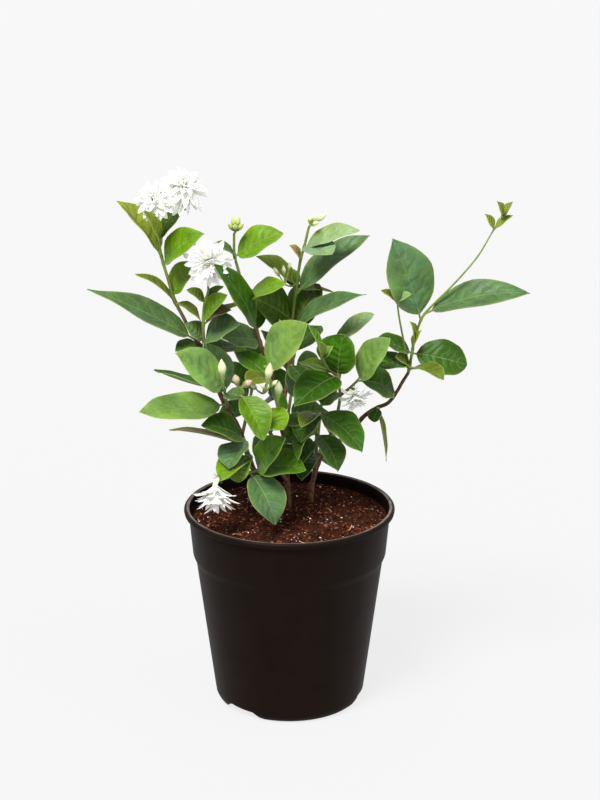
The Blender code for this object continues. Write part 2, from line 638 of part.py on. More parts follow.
def fuse(name, pieces, material):
    """Join one node's pieces into a single body, and drop what it was joined from."""
    body = pieces[0]
    others = bpy.data.collections.new(name + "_pieces")
    bpy.context.scene.collection.children.link(others)
    for piece in pieces[1:]:
        for holder in list(piece.users_collection):
            holder.objects.unlink(piece)
        others.objects.link(piece)
    if len(others.objects):
        union = body.modifiers.new("join", "BOOLEAN")
        union.operation = "UNION"
        union.operand_type = "COLLECTION"
        union.collection = others
        union.solver = "MANIFOLD"
        bake(body)
    for piece in list(others.objects):
        bpy.data.objects.remove(piece, do_unlink=True)
    bpy.data.collections.remove(others)
    body.name = name
    body.data.name = name
    body.data.materials.clear()
    body.data.materials.append(material)
    return body


def cavity_profile(inset, floor):
    """(radius, height) pairs up the pot's wall from the middle of its floor, moved in by the inset."""
    corner = BODY_FOOT_RADIUS - FOOT_RADIUS
    pairs = [(0.0, floor)]
    for angle in (90, 40):
        turn = math.radians(angle)
        radius = FOOT_RADIUS + corner * math.cos(turn) - inset
        pairs.append((radius, floor + (CORNER_HEIGHT - floor) * (1 - math.sin(turn))))
    pairs.append((BODY_FOOT_RADIUS - inset, CORNER_HEIGHT))
    rise = inset / 2
    pairs.append((BODY_TOP_RADIUS - inset, STEP_HEIGHT - STEP_DROP + rise))
    pairs.append((COLLAR_FOOT_RADIUS - inset, STEP_HEIGHT + rise))
    pairs.append((COLLAR_TOP_RADIUS - inset, POT_HEIGHT - LIP_DEPTH))
    return pairs


def turned(name, pairs, collection):
    """A solid of revolution about the pot's axis. The pairs run down its outer side."""
    shape = bpy.data.meshes.new(name)
    points = [(radius * MM, 0.0, height * MM) for radius, height in pairs]
    edges = [(index, index + 1) for index in range(len(points) - 1)]
    shape.from_pydata(points, edges, [])
    obj = add_mesh(name, shape, collection)
    screw = obj.modifiers.new("turn", "SCREW")
    screw.steps = POT_STEPS
    screw.render_steps = POT_STEPS
    screw.use_merge_vertices = True
    screw.merge_threshold = 0.00001
    return obj


def cut(obj, cutter):
    """Take a cutter's shape out of an object."""
    cutter.hide_render = True
    cutter.display_type = "WIRE"
    difference = obj.modifiers.new(cutter.name, "BOOLEAN")
    difference.operation = "DIFFERENCE"
    difference.object = cutter
    difference.solver = "EXACT"


def bite_cutter(index, heading, cutters):
    """A wedge with sloping ends, for one drainage bite in the pot's foot."""
    wedge = bmesh.new()
    bmesh.ops.create_cube(wedge, size=1.0)
    for vert in wedge.verts:
        top = vert.co.z > 0
        width = BITE_TOP_WIDTH if top else 2 * BITE_FOOT_WIDTH - BITE_TOP_WIDTH
        vert.co.x *= BITE_REACH * MM
        vert.co.y *= width * MM
        vert.co.z = (BITE_HEIGHT if top else -BITE_HEIGHT) * MM
    shape = bpy.data.meshes.new(f"bite_{index}")
    wedge.to_mesh(shape)
    wedge.free()
    obj = add_mesh(f"bite_{index}", shape, cutters)
    turn = math.radians(heading)
    middle = FOOT_RADIUS + BITE_REACH / 4
    obj.location = (middle * MM * math.cos(turn), middle * MM * math.sin(turn), 0.0)
    obj.rotation_euler = (0.0, 0.0, turn)
    return obj


def make_pot(parts, cutters):
    """The nursery pot: rolled lip, collar, step, tapered body and drainage bites."""
    lip_foot = POT_HEIGHT - LIP_DEPTH
    lip = [
        (LIP_INNER_RADIUS, POT_HEIGHT),
        (LIP_RADIUS - LIP_ROUNDING[0], POT_HEIGHT),
        (LIP_RADIUS, POT_HEIGHT - LIP_ROUNDING[1]),
        (LIP_RADIUS - LIP_DRAFT, lip_foot + LIP_FOOT_ROUNDING),
    ]
    outside = list(reversed(cavity_profile(0.0, 0.0)))
    pot = turned("pot", cavity_profile(WALL, FLOOR) + lip + outside, parts)
    for index, heading in enumerate(BITE_HEADINGS):
        cut(pot, bite_cutter(index, heading, cutters))
    return pot


def lump_height(x, y):
    """The rise and fall of the soil's crumbly top."""
    broad = math.sin(x / 7.3 + 1.0) * math.cos(y / 8.1)
    fine = math.sin(x / 3.7 + y / 5.9) * math.cos(y / 3.1 - x / 11.0)
    return SOIL_LUMP * (0.6 * broad + 0.5 * fine)


def make_soil(parts, cutters):
    """The soil: it fills the pot up to a low mound, with a plain hole for each cane."""
    inset = WALL + CLEARANCE
    wall = cavity_profile(inset, FLOOR + CLEARANCE)
    (low_radius, low), (high_radius, high) = wall[-2:]
    rise = (SOIL_EDGE_HEIGHT - low) / (high - low)
    edge_radius = low_radius + (high_radius - low_radius) * rise
    mound = SOIL_MIDDLE_HEIGHT - SOIL_EDGE_HEIGHT
    pairs = []
    for ring in range(SOIL_RINGS):
        share = ring / SOIL_RINGS
        pairs.append((edge_radius * share, SOIL_EDGE_HEIGHT + mound * (1 - share**2)))
    pairs.append((edge_radius, SOIL_EDGE_HEIGHT))
    soil = turned("soil", pairs + list(reversed(wall[:-1])), parts)
    bake(soil)
    for vert in soil.data.vertices:
        x, y, z = (value / MM for value in vert.co)
        if z > SOIL_EDGE_HEIGHT + 0.01:
            ease = min(1.0, 4 * (1 - math.hypot(x, y) / edge_radius))
            vert.co.z += lump_height(x, y) * ease * MM
    for name in ("cane_left", "cane_mid", "cane_right"):
        cut(soil, cane_hole(name, cutters))
    return soil


def cane_hole(name, cutters):
    """A cylinder a little wider and deeper than a cane's buried foot, along it."""
    stem = STEMS[name]
    foot, top = (Vector(point) for point in stem.route[:2])
    axis = (top - foot).normalized()
    foot -= axis * CLEARANCE
    length = (top - foot).length
    radius = (stem.radii[0] + CLEARANCE) / math.cos(math.pi / CANE_HOLE_SIDES)
    cylinder = bmesh.new()
    bmesh.ops.create_cone(
        cylinder, cap_ends=True, segments=CANE_HOLE_SIDES, radius1=radius * MM, radius2=radius * MM,
        depth=length * MM)
    shape = bpy.data.meshes.new(name + "_hole")
    cylinder.to_mesh(shape)
    cylinder.free()
    obj = add_mesh(name + "_hole", shape, cutters)
    obj.location = (foot + axis * length / 2) * MM
    obj.rotation_euler = axis.to_track_quat("Z", "Y").to_euler()
    return obj


def make_plant(parts, finishes):
    """Every cane, shoot, bloom and bunch of buds, each as one body."""
    stems = {**STEMS, **BUD_STEMS}
    routes = {name: smooth_route(stem.route) for name, stem in stems.items()}
    pieces = {}
    for name, stem in stems.items():
        route = sprout(name, routes, stems)
        grown = pieces.setdefault(stem.node, [])
        grown.append(tube(name, route, taper(stem.radii, len(route)), parts))
        for index, row in enumerate(LEAVES.get(name, [])):
            grown.append(leaf_blade(f"{name}_leaf_{index}", Leaf(*row), routes[name], parts))
        for index, bud in enumerate(BUDS.get(name, [])):
            grown.extend(bud_pieces(f"{name}_{index}", bud, route[-1], parts))
    for name, bloom in BLOOMS.items():
        stem = stems[bloom.peduncle]
        end = routes[bloom.peduncle][-1]
        if (Vector(bloom.centre) - end).length > SEPAL_LENGTH:
            pieces[stem.node].extend(sepal_pieces(name, routes[bloom.peduncle], parts))
        pieces[name] = bloom_pieces(name, bloom, end, parts)
    for node, grown in pieces.items():
        if node.startswith("cane"):
            finish = "bark"
        elif node.startswith("bloom"):
            finish = "petals"
        elif node.startswith("bud"):
            finish = "buds"
        else:
            finish = "foliage"
        fuse(node, grown, finishes[finish])


def main():
    """Build the pot, the soil and the plant."""
    parts = clear_scene()
    cutters = bpy.data.collections.new("cutters")
    bpy.context.scene.collection.children.link(cutters)
    finishes = {name: make_finish(name) for name in FINISHES}
    pot = make_pot(parts, cutters)
    pot.data.materials.append(finishes["dark_plastic"])
    soil = make_soil(parts, cutters)
    soil.data.materials.append(finishes["peat"])
    make_plant(parts, finishes)


if __name__ == "__main__":
    main()
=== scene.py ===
"""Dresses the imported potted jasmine: fine leaves, blooms, buds, bark, plastic and potting mix.

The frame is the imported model, in metres. Driving dimensions are in millimetres, +Z is up and the front of
the pot faces -Y. Each shoot, bloom and bud bunch replaces the plain solid of the same name.
"""

import logging
import math
import random
from collections.abc import Callable
from dataclasses import dataclass
from enum import Enum

import bpy
from mathutils import Euler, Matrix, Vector, noise


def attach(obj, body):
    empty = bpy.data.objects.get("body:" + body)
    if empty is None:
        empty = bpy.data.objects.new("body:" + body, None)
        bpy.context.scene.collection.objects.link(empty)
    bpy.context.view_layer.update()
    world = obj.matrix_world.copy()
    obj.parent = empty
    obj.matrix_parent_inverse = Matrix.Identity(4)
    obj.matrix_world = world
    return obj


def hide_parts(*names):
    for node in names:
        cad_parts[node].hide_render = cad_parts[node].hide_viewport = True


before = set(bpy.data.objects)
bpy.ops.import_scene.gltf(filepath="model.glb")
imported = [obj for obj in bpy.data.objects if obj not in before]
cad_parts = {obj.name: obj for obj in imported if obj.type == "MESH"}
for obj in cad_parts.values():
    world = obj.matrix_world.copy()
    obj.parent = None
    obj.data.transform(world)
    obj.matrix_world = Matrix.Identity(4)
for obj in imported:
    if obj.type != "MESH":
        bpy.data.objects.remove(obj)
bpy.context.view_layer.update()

MM = 0.001
# A blade's rows of faces: this much evenly spaced, and this much crowded at its two ends
EVEN_ROWS, CROWDED_ROWS = 0.45, 0.55
LOG = logging.getLogger("potted_jasmine")

Obj = bpy.types.Object
Socket = bpy.types.NodeSocket
Point = tuple[float, float, float]
Pairs = list[tuple[float, float]]


class Tone(Enum):
    """The colour of one leaf's upper face, as sRGB hex."""

    BRIGHT = "567c0c"
    LIGHT = "688c46"
    MID = "416c0a"
    DARK = "2c5404"
    SHADE = "345004"
    # Bluish green with a painted sheen: the pale bluish reflection off these leaves is painted into their
    # colour
    GLAUCOUS = "4a6a44"
    PALE = "74926a"
    OLIVE = "56681a"
    YOUNG = "78882c"
    BROWN = "5f4f22"
    TAN = "a08c50"


class Outline(Enum):
    """How full a blade is at its root and at its tip: the two powers of its outline."""

    BROAD = (0.62, 0.78)
    LANCE = (0.62, 1.15)
    ROUND = (0.55, 0.5)
    SLIM = (0.8, 1.1)
    DROP = (0.8, 0.9)
    PETAL = (1.0, 0.6)


class BudTint(Enum):
    """The colours of a bud at its foot and at its head, as sRGB hex."""

    CREAM = ("7f9a40", "dde0ae")
    LIME = ("6f8c2c", "b9c26a")
    BLUSH = ("8f8a50", "c4b090")


# Short names for the plan tables
BRIGHT, LIGHT, MID, DARK, SHADE, GLAUCOUS, PALE, OLIVE, YOUNG, BROWN, TAN = Tone
BROAD, LANCE, ROUND, SLIM, DROP, PETAL = Outline


@dataclass(frozen=True)
class Stem:
    """A stem: the CAD node it is in, its radii at both ends and the points it grows through."""

    node: str
    radii: tuple[float, float]
    route: tuple[Point, ...]

    def radius(self, share: float) -> float:
        """The radius at a share of its length."""
        return self.radii[0] + (self.radii[1] - self.radii[0]) * share


@dataclass(frozen=True)
class Leaf:
    """A leaf: share of its stem, heading, pitch, length, width, roll, fold and arch in hundredths."""

    share: float
    heading: float
    pitch: float
    length: float
    width: float
    roll: float
    fold: float
    arch: float
    tone: Tone = DARK
    outline: Outline = BROAD


@dataclass(frozen=True)
class Bud:
    """A bud: where its tip is, its length, its radius and its colours."""

    tip: Point
    length: float
    radius: float
    tint: BudTint = BudTint.CREAM


@dataclass(frozen=True)
class Bloom:
    """A bloom: its stem, throat, facing, diameter and whorls as count, spread and share of length."""

    peduncle: str
    centre: Point
    face: Point
    diameter: float
    whorls: tuple[Point, ...]


def planned(kind: type, table: dict[str, tuple]) -> dict[str, tuple]:
    """Make each row of a plan table into an object of this kind."""
    return {name: tuple(kind(*row) for row in rows) for name, rows in table.items()}


# The plan, in millimetres and degrees


STEMS: dict[str, Stem] = {
    "cane_left": Stem("cane_left", (2.4, 1.7), ((-19, 9, 106), (-20, 8, 150), (-24, 3, 171), (-31, -4, 195),
        (-37, -8, 215), (-45, -10, 231), (-51, -10, 245), (-56, -9, 261), (-61, -8, 275))),
    "cane_mid": Stem("cane_mid", (2.5, 1.7), ((-1, 14, 106), (-1, 14, 150), (-2, 12, 167), (-3, 10, 192),
        (-6, 8, 216), (-10, 6, 238), (-14, 4, 257), (-20, 4, 273))),
    "cane_right": Stem("cane_right", (2.3, 1.2), ((16, 26, 106), (16, 26, 150), (18, 30, 162),
        (24, 32, 179), (36, 32, 190), (47, 30, 200), (55, 27, 212), (64, 23, 220), (73, 18, 226),
        (79, 14, 236), (83, 10, 245), (87, 7, 253))),
    "left_top": Stem("shoot_left_top", (1.5, 1.0), ((-61, -8, 275), (-67, -9, 283), (-72, -10, 292),
        (-76, -11, 301), (-82, -13, 314), (-85, -14, 326), (-89, -15, 341), (-91, -16, 351),
        (-92, -16, 360))),
    "left_flower": Stem("shoot_left_top", (0.8, 0.7), ((-92, -16, 359), (-94, -19, 370), (-94, -22, 379))),
    "top_flower": Stem("shoot_left_top", (0.8, 0.7), ((-92, -16, 359), (-87, -14, 369), (-80, -12, 379),
        (-78, -12, 383))),
    "left": Stem("shoot_left", (1.3, 0.9), ((-45, -10, 231), (-45, -18, 238), (-46, -24, 246),
        (-46, -28, 253))),
    "left_bloom": Stem("shoot_left_bloom", (1.3, 0.9), ((-56, -9, 263), (-60, -14, 275), (-61, -18, 287),
        (-61, -21, 300), (-60, -23, 313), (-57, -24, 323))),
    "mid_flower": Stem("shoot_left_bloom", (0.8, 0.7), ((-57, -24, 321), (-57, -26, 328), (-57, -29, 335))),
    "left_low": Stem("shoot_left_low", (1.4, 0.9), ((-25, 3, 172), (-28, -8, 189), (-31, -15, 202),
        (-33, -18, 211))),
    "rim_flower": Stem("shoot_left_low", (0.8, 0.7), ((-30, -11, 195), (-37, -21, 193), (-43, -31, 192),
        (-49, -37, 189))),
    "centre_left": Stem("shoot_centre_left", (1.5, 0.9), ((-20, 4, 273), (-24, 3, 287), (-28, 1, 304),
        (-34, -1, 324), (-37, -3, 336), (-39, -4, 345), (-39, -5, 357))),
    "centre": Stem("shoot_centre", (1.5, 0.9), ((-6, 8, 216), (-2, 14, 241), (1, 18, 271), (3, 18, 296),
        (5, 16, 313), (8, 13, 335), (11, 11, 347), (14, 9, 361))),
    "front": Stem("shoot_front", (1.4, 0.9), ((-10, 6, 238), (-12, -10, 249), (-15, -24, 261),
        (-17, -32, 270))),
    "front_low": Stem("shoot_front_low", (1.5, 1.0), ((-3, 10, 192), (-10, -6, 205), (-20, -22, 226),
        (-28, -34, 242), (-35, -42, 253))),
    "soil": Stem("shoot_soil", (1.5, 1.0), ((-2, 12, 167), (-8, -4, 180), (-19, -16, 186),
        (-30, -26, 187))),
    "right_low": Stem("shoot_right_low", (1.5, 1.0), ((18, 30, 162), (20, 18, 187), (20, 4, 210),
        (21, -8, 228))),
    "right": Stem("shoot_right", (1.5, 1.0), ((24, 32, 179), (33, 22, 207), (37, 8, 231), (36, -4, 249),
        (35, -8, 257))),
    "right_inner": Stem("shoot_right", (1.2, 0.9), ((35, -7, 255), (28, -12, 262), (24, -15, 271))),
    "right_outer": Stem("shoot_right", (1.3, 0.9), ((37, 5, 236), (44, -2, 244), (50, -8, 252))),
    "right_thin": Stem("shoot_right", (0.9, 0.7), ((36, -4, 249), (38, 6, 262), (31, 10, 272))),
    "shade_flower": Stem("shoot_right", (0.8, 0.7), ((42, 0, 241), (45, 3, 242), (47, 3, 242),
        (47, 1, 242))),
    "right_tall": Stem("shoot_right_tall", (1.1, 0.45), ((87, 7, 253), (89, 5, 267), (91, 3, 280),
        (96, 0, 297), (105, -3, 309), (114, -5, 319), (124, -7, 331), (135, -9, 346), (145, -11, 365),
        (152, -12, 376))),
    "right_sprig": Stem("shoot_right_tall", (0.8, 0.6), ((87, 6, 260), (83, 2, 278), (79, -6, 299),
        (77, -14, 314))),
    "right_twig": Stem("twig_right", (1.0, 0.8), ((65, 22, 221), (65, 17, 222), (66, 14, 223))),
    "back_mid": Stem("shoot_back_mid", (1.4, 0.9), ((-4, 9, 200), (-1, 26, 214), (2, 40, 233),
        (3, 48, 257))),
    "back_right": Stem("shoot_back_right", (1.4, 0.9), ((17, 28, 152), (19, 46, 169), (22, 56, 190),
        (24, 60, 211))),
    "back_left": Stem("shoot_back_left", (1.4, 0.9), ((-35, -7, 207), (-32, 16, 215), (-28, 34, 231),
        (-26, 42, 250))),
    "top_left_buds": Stem("buds_centre_left", (0.9, 0.9), ((-39, -5, 357), (-39, -6, 360), (-38, -6, 362))),
    "top_buds": Stem("buds_centre", (0.9, 0.9), ((14, 9, 361), (15, 8, 363))),
    "front_buds": Stem("buds_front", (0.7, 0.7), ((-14, -19, 257), (-18, -29, 252), (-18, -40, 253),
        (-16, -46, 257))),
    "club_bud": Stem("shoot_front_low", (0.8, 0.8), ((-13, -12, 214), (-9, -26, 225), (-8, -34, 236),
        (-8, -38, 245))),
    "left_buds": Stem("buds_left", (0.7, 0.7), ((-46, -26, 248), (-46, -36, 255), (-46, -50, 261),
        (-46, -59, 267))),
    "low_buds": Stem("buds_front_low", (0.9, 0.9), ((-35, -42, 253), (-36, -44, 257))),
    "middle_bud": Stem("shoot_front", (0.7, 0.7), ((-12, -11, 250), (-18, -20, 246), (-22, -28, 250))),
    "inner_bud": Stem("shoot_centre", (0.6, 0.6), ((2, 18, 282), (-2, 10, 281), (-4, 2, 286))),
    "side_buds": Stem("shoot_centre", (0.6, 0.6), ((5, 16, 317), (1, 4, 319), (-3, -2, 322))),
}

LEAVES: dict[str, tuple[Leaf, ...]] = planned(Leaf, {
    "left_top": (
        (0.79, -34, 38, 44, 28, -54, 20, 8, BRIGHT), (0.85, 173, 53, 50, 30, 16, 28, 5, YOUNG),
        (0.97, 31, 45, 33, 19, -2, 20, 6, MID), (0.97, -104, 45, 41, 14, 92, 20, 5, YOUNG),
        (0.48, -165, 39, 35, 12, 22, 26, 6, OLIVE), (0.51, 12, 59, 30, 26, -22, 14, 6, BRIGHT),
        (0.46, -31, -24, 24, 14, 0, 25, 6, OLIVE, LANCE),
        (0.1, -163, 31, 90, 27, 32, 16, 2, GLAUCOUS, LANCE), (0.03, -148, 3, 22, 20, 6, 20, 6)),
    "left_bloom": (
        (0.66, -53, 41, 37, 17, -68, 10, 5, BRIGHT), (0.66, -13, 22, 22, 16, -22, 20, 5, BROWN),
        (0.87, -158, 39, 17, 12, 38, 20, 5, OLIVE), (0.9, 24, 32, 16, 10, -10, 20, 5),
        (0.59, 17, 25, 33, 14, 0, 20, 5, OLIVE), (0.37, -27, 31, 33, 30, -36, 15, 8, GLAUCOUS),
        (0.37, -171, 46, 19, 20, 32, 15, 6, GLAUCOUS), (0.16, 42, 6, 28, 24, -12, 14, 6)),
    "left": (
        (0.94, -138, 40, 56, 30, 64, 10, 5, LIGHT), (0.7, 174, 70, 42, 28, 40, 12, 4, GLAUCOUS),
        (0.94, 161, 11, 55, 22, -10, 20, -5), (0.3, -147, 7, 72, 29, 30, 14, -3, LIGHT)),
    "left_low": (
        (0.97, -148, 28, 39, 28, 34, 16, 8), (0.85, 164, 8, 59, 20, -12, 14, 3, BROWN),
        (0.97, -119, -32, 27, 30, -16, 14, 6, GLAUCOUS), (0.63, -124, -12, 37, 26, -2, 14, 6, BRIGHT),
        (0.68, -108, -38, 25, 26, -30, 12, 6, BRIGHT, ROUND)),
    "centre_left": (
        (0.84, -17, 30, 41, 28, -40, 12, 6, BRIGHT), (0.86, -144, 32, 20, 12, 36, 24, 4, GLAUCOUS),
        (0.16, -114, 46, 90, 24, 86, 14, 4), (0.13, 126, 68, 36, 24, -16, 14, 4),
        (0.45, -45, 26, 42, 20, -40, 12, 6, BRIGHT), (0.05, -157, 13, 30, 32, 24, 12, 5, GLAUCOUS)),
    "centre": (
        (0.89, -26, 24, 47, 20, -34, 14, 7, PALE), (0.9, -55, 4, 34, 22, -20, 10, 5, PALE, ROUND),
        (0.64, 5, 40, 69, 28, -24, 18, 5, GLAUCOUS), (0.83, -132, 48, 17, 10, 60, 24, 4, TAN),
        (0.69, -173, 39, 37, 20, 28, 24, 6, OLIVE), (0.67, 148, 53, 19, 18, 6, 14, 5, MID),
        (0.5, -158, 36, 34, 36, 48, 10, 5, SHADE, ROUND), (0.44, 15, 61, 41, 34, -28, 10, 5, SHADE, ROUND),
        (0.47, -40, 30, 77, 25, -36, 16, 4, GLAUCOUS, LANCE), (0.28, -29, -79, 25, 22, -10, 10, 5),
        (0.28, -49, -30, 31, 24, 4, 10, 5), (0.67, 26, -11, 33, 10, -12, 14, 5, OLIVE, LANCE),
        (0.24, 167, 58, 37, 22, 12, 14, 6, SHADE)),
    "front": (
        (0.97, -32, 48, 51, 34, -64, 12, 5, LIGHT), (0.64, 147, 27, 33, 24, 6, 10, 5, MID),
        (0.64, -123, 13, 30, 16, 26, 8, 5, OLIVE, ROUND), (0.32, -77, -28, 29, 16, 36, 14, 5, MID)),
    "front_low": (
        (0.99, -50, -46, 38, 29, -8, 30, 8, BRIGHT), (0.67, -55, -3, 33, 26, -12, 12, 10, BRIGHT, ROUND),
        (0.92, 144, 2, 17, 17, 18, 10, 5, GLAUCOUS, ROUND)),
    "soil": (
        (0.84, -52, 46, 47, 26, -76, 14, 6, MID), (0.86, -20, 10, 39, 32, -22, 12, 10, MID),
        (0.97, -46, -49, 43, 32, -8, 14, 10, GLAUCOUS), (0.6, -1, 42, 27, 22, -32, 14, 8),
        (0.75, 90, 37, 31, 26, -36, 14, 6)),
    "right_low": (
        (0.77, -149, 15, 28, 18, 22, 10, 10, GLAUCOUS, ROUND), (0.97, -111, 2, 34, 16, 0, 14, 8, OLIVE),
        (0.97, -24, -34, 43, 34, -12, 14, 10), (0.97, -126, -36, 27, 26, -8, 14, 10),
        (0.66, -110, -8, 43, 20, -30, 26, 10, MID, LANCE), (0.66, -52, -40, 34, 26, 6, 14, 10),
        (0.55, -143, -36, 30, 24, 6, 14, 10), (0.81, -161, -25, 27, 28, 20, 14, 8),
        (0.37, -113, -23, 31, 22, -16, 14, 8)),
    "right": (
        (0.97, -126, -8, 53, 31, 18, 12, 8), (0.97, -18, 84, 32, 36, -72, 14, 4, DARK, ROUND)),
    "right_inner": (
        (0.09, 153, 11, 31, 18, 4, 10, 5, SHADE), (0.97, 140, 61, 27, 12, -18, 20, 3, MID),
        (0.97, -98, 46, 25, 9, 116, 14, 4, LIGHT, SLIM), (0.97, -23, 54, 13, 9, -50, 14, 4, LIGHT, SLIM)),
    "right_outer": (
        (0.97, -40, 53, 47, 27, -70, 14, 5, LIGHT), (0.97, 27, -22, 34, 36, -34, 14, 8)),
    "right_thin": (
        (0.97, -15, 43, 41, 17, -38, 14, 5, PALE, ROUND),),
    "right_tall": (
        (0.3, -149, 69, 68, 41, 90, 14, 3, GLAUCOUS, DROP), (0.34, -13, 16, 78, 29, -30, 14, 8, GLAUCOUS),
        (0.11, -4, -11, 41, 29, -48, 8, 5, DARK, ROUND), (0.02, -61, 8, 47, 22, -2, 20, 6, OLIVE),
        (0.11, -162, 26, 31, 22, 24, 14, 3), (0.05, -152, 5, 25, 22, 20, 14, 10, DARK, ROUND),
        (0.91, -156, 58, 14, 9, 52, 14, 5, YOUNG, SLIM), (0.91, -14, 41, 17, 9, -30, 14, 5, YOUNG, SLIM),
        (0.98, -106, 43, 23, 9, 92, 14, 5, YOUNG, SLIM), (0.98, -17, 60, 14, 9, -42, 14, 5, YOUNG, SLIM),
        (0.02, -176, 39, 19, 12, 18, 14, 5, OLIVE), (0.03, -126, 36, 22, 14, 48, 14, 6, OLIVE),
        (0.17, -106, 62, 21, 12, 90, 14, 6, YOUNG, SLIM), (0.13, -67, 54, 23, 9, -82, 14, 6, YOUNG, SLIM)),
    "right_sprig": (
        (0.97, -150, 38, 17, 9, 42, 20, 5, OLIVE), (0.97, -27, 34, 13, 9, -36, 20, 5, PALE)),
    "right_twig": (
        (0.88, -119, -50, 11, 13, -14, 10, 5, DARK, ROUND),
        (0.76, -27, -78, 41, 9, 10, 24, 1, OLIVE, LANCE)),
    "back_mid": (
        (0.9, 145, 20, 25, 24, 10, 14, 6), (0.97, 46, 27, 34, 26, -6, 14, 8),
        (0.82, 120, -1, 48, 28, 8, 14, 8), (0.82, 50, -19, 38, 28, -50, 14, 10),
        (0.58, 112, -25, 54, 28, 54, 14, 10), (0.72, 157, -35, 25, 26, 42, 14, 6),
        (0.3, 33, -6, 38, 26, -22, 14, 6)),
    "back_right": (
        (0.97, 96, 15, 43, 28, -22, 14, 8), (0.97, 25, 33, 17, 26, -6, 14, 8),
        (0.85, 119, -23, 42, 28, 50, 14, 8), (0.85, 75, -34, 52, 26, -90, 14, 10),
        (0.42, 136, -4, 31, 26, 22, 14, 8), (0.42, 73, -18, 43, 24, -68, 14, 8)),
    "back_left": (
        (0.97, -158, 71, 34, 24, 50, 14, 6), (0.97, 112, 29, 28, 24, 14, 14, 6),
        (0.7, 147, 22, 35, 28, 8, 14, 8), (0.7, 86, -3, 52, 28, 36, 14, 10),
        (0.41, 161, -13, 27, 28, 18, 14, 8), (0.41, 78, -35, 58, 28, -94, 14, 10),
        (0.59, 110, -22, 47, 28, 42, 14, 10)),
})

BUDS: dict[str, tuple[Bud, ...]] = planned(Bud, {
    "top_left_buds": (
        ((-43, -11, 369), 10, 1.8, BudTint.LIME), ((-40, -6, 373), 11, 1.9, BudTint.LIME),
        ((-35, -6, 373), 11, 1.8, BudTint.LIME), ((-32, -10, 369), 10, 1.8, BudTint.LIME),
        ((-33, 1, 366), 8, 1.6, BudTint.LIME), ((-38, -14, 369), 8, 1.8, BudTint.LIME)),
    "top_buds": (
        ((27, 7, 372), 13, 2), ((21, 12, 370), 9, 1.8), ((15, 9, 371), 9, 1.8), ((21, 2, 367), 8, 1.7)),
    "front_buds": (
        ((-13, -52, 279), 18, 2.9), ((-8, -48, 265), 8, 1.6), ((-20, -50, 263), 8, 1.3)),
    "club_bud": (((-7, -38, 261), 14, 2.9),),
    "left_buds": (((-47, -62, 285), 18, 3),),
    "low_buds": (
        ((-38, -48, 269), 10, 2.7, BudTint.BLUSH), ((-26, -46, 264), 9, 2.5, BudTint.BLUSH)),
    "middle_bud": (((-27, -34, 258), 8, 1.9),),
    "inner_bud": (((-7, -2, 296), 9, 1.5),),
    "side_buds": (
        ((-11, -6, 336), 9, 1.5), ((-4, -4, 337), 9, 1.5), ((1, 0, 338), 7, 1.3)),
})

BLOOMS: dict[str, Bloom] = {
    "bloom_left": Bloom(
        "left_flower", (-94, -27, 390), (-2, -9, 3), 28, ((8, 88, 1.0), (6, 58, 0.9), (4, 24, 0.75))),
    "bloom_top": Bloom(
        "top_flower", (-74, -14, 396), (3, -7, 6), 35, ((8, 92, 1.0), (6, 62, 0.95), (4, 26, 0.8))),
    "bloom_mid": Bloom(
        "mid_flower", (-56, -38, 349), (0, -9, -1), 34, ((8, 90, 1.0), (7, 60, 0.95), (4, 26, 0.8))),
    "bloom_rim": Bloom(
        "rim_flower", (-53, -43, 182), (0, -4, -9), 38, ((8, 60, 0.85), (8, 40, 1.0), (5, 20, 0.9))),
    "bloom_shade": Bloom(
        "shade_flower", (48, -6, 239), (1, -7, -7), 25, ((6, 90, 1.0), (5, 50, 0.85))),
}


# Mesh helpers


def deselect() -> None:
    """Leave nothing selected, so that an operator acts only on what is chosen next."""
    bpy.ops.object.select_all(action="DESELECT")


def activate(obj: Obj) -> None:
    """Select one object alone and make it the active one."""
    deselect()
    obj.select_set(True)
    bpy.context.view_layer.objects.active = obj


def finish_modifiers(obj: Obj) -> None:
    """Apply an object's modifiers in order."""
    activate(obj)
    for modifier in list(obj.modifiers):
        bpy.ops.object.modifier_apply(modifier=modifier.name)


def add_object(name: str, data: bpy.types.ID) -> Obj:
    """Put a mesh, a lamp or a camera into the scene."""
    obj = bpy.data.objects.new(name, data)
    bpy.context.scene.collection.objects.link(obj)
    return obj


def mesh_object(name: str, verts: list[Vector], faces: list[tuple[int, ...]]) -> Obj:
    """A new object of these vertices, in metres, and these faces."""
    mesh = bpy.data.meshes.new(name)
    mesh.from_pydata(verts, [], faces)
    return add_object(name, mesh)


def joined(name: str, pieces: list[Obj], *finishes: bpy.types.Material) -> Obj:
    """Join objects into one.

    Args:
        name: The name of the joined object.
        pieces: The objects, all at the origin.
        finishes: The materials it gets.

    Returns:
        The joined object.
    """
    activate(pieces[0])
    for piece in pieces:
        piece.select_set(True)
    if len(pieces) > 1:
        bpy.ops.object.join()
    obj = bpy.context.view_layer.objects.active
    obj.name = obj.data.name = name
    for finish in finishes:
        obj.data.materials.append(finish)
    return obj


def thicken(sheets: Obj, thickness: float) -> None:
    """Give sheets their thickness, with the last of their materials on the under side."""
    solid = sheets.modifiers.new("thickness", "SOLIDIFY")
    solid.thickness = thickness * MM
    solid.offset = 0.0
    solid.material_offset = len(sheets.data.materials) - 1
    finish_modifiers(sheets)


def smooth(obj: Obj, angle: float = 50.0) -> None:
    """Shade an object smooth, with edges sharper than the angle kept crisp."""
    activate(obj)
    bpy.ops.object.shade_smooth_by_angle(angle=math.radians(angle))


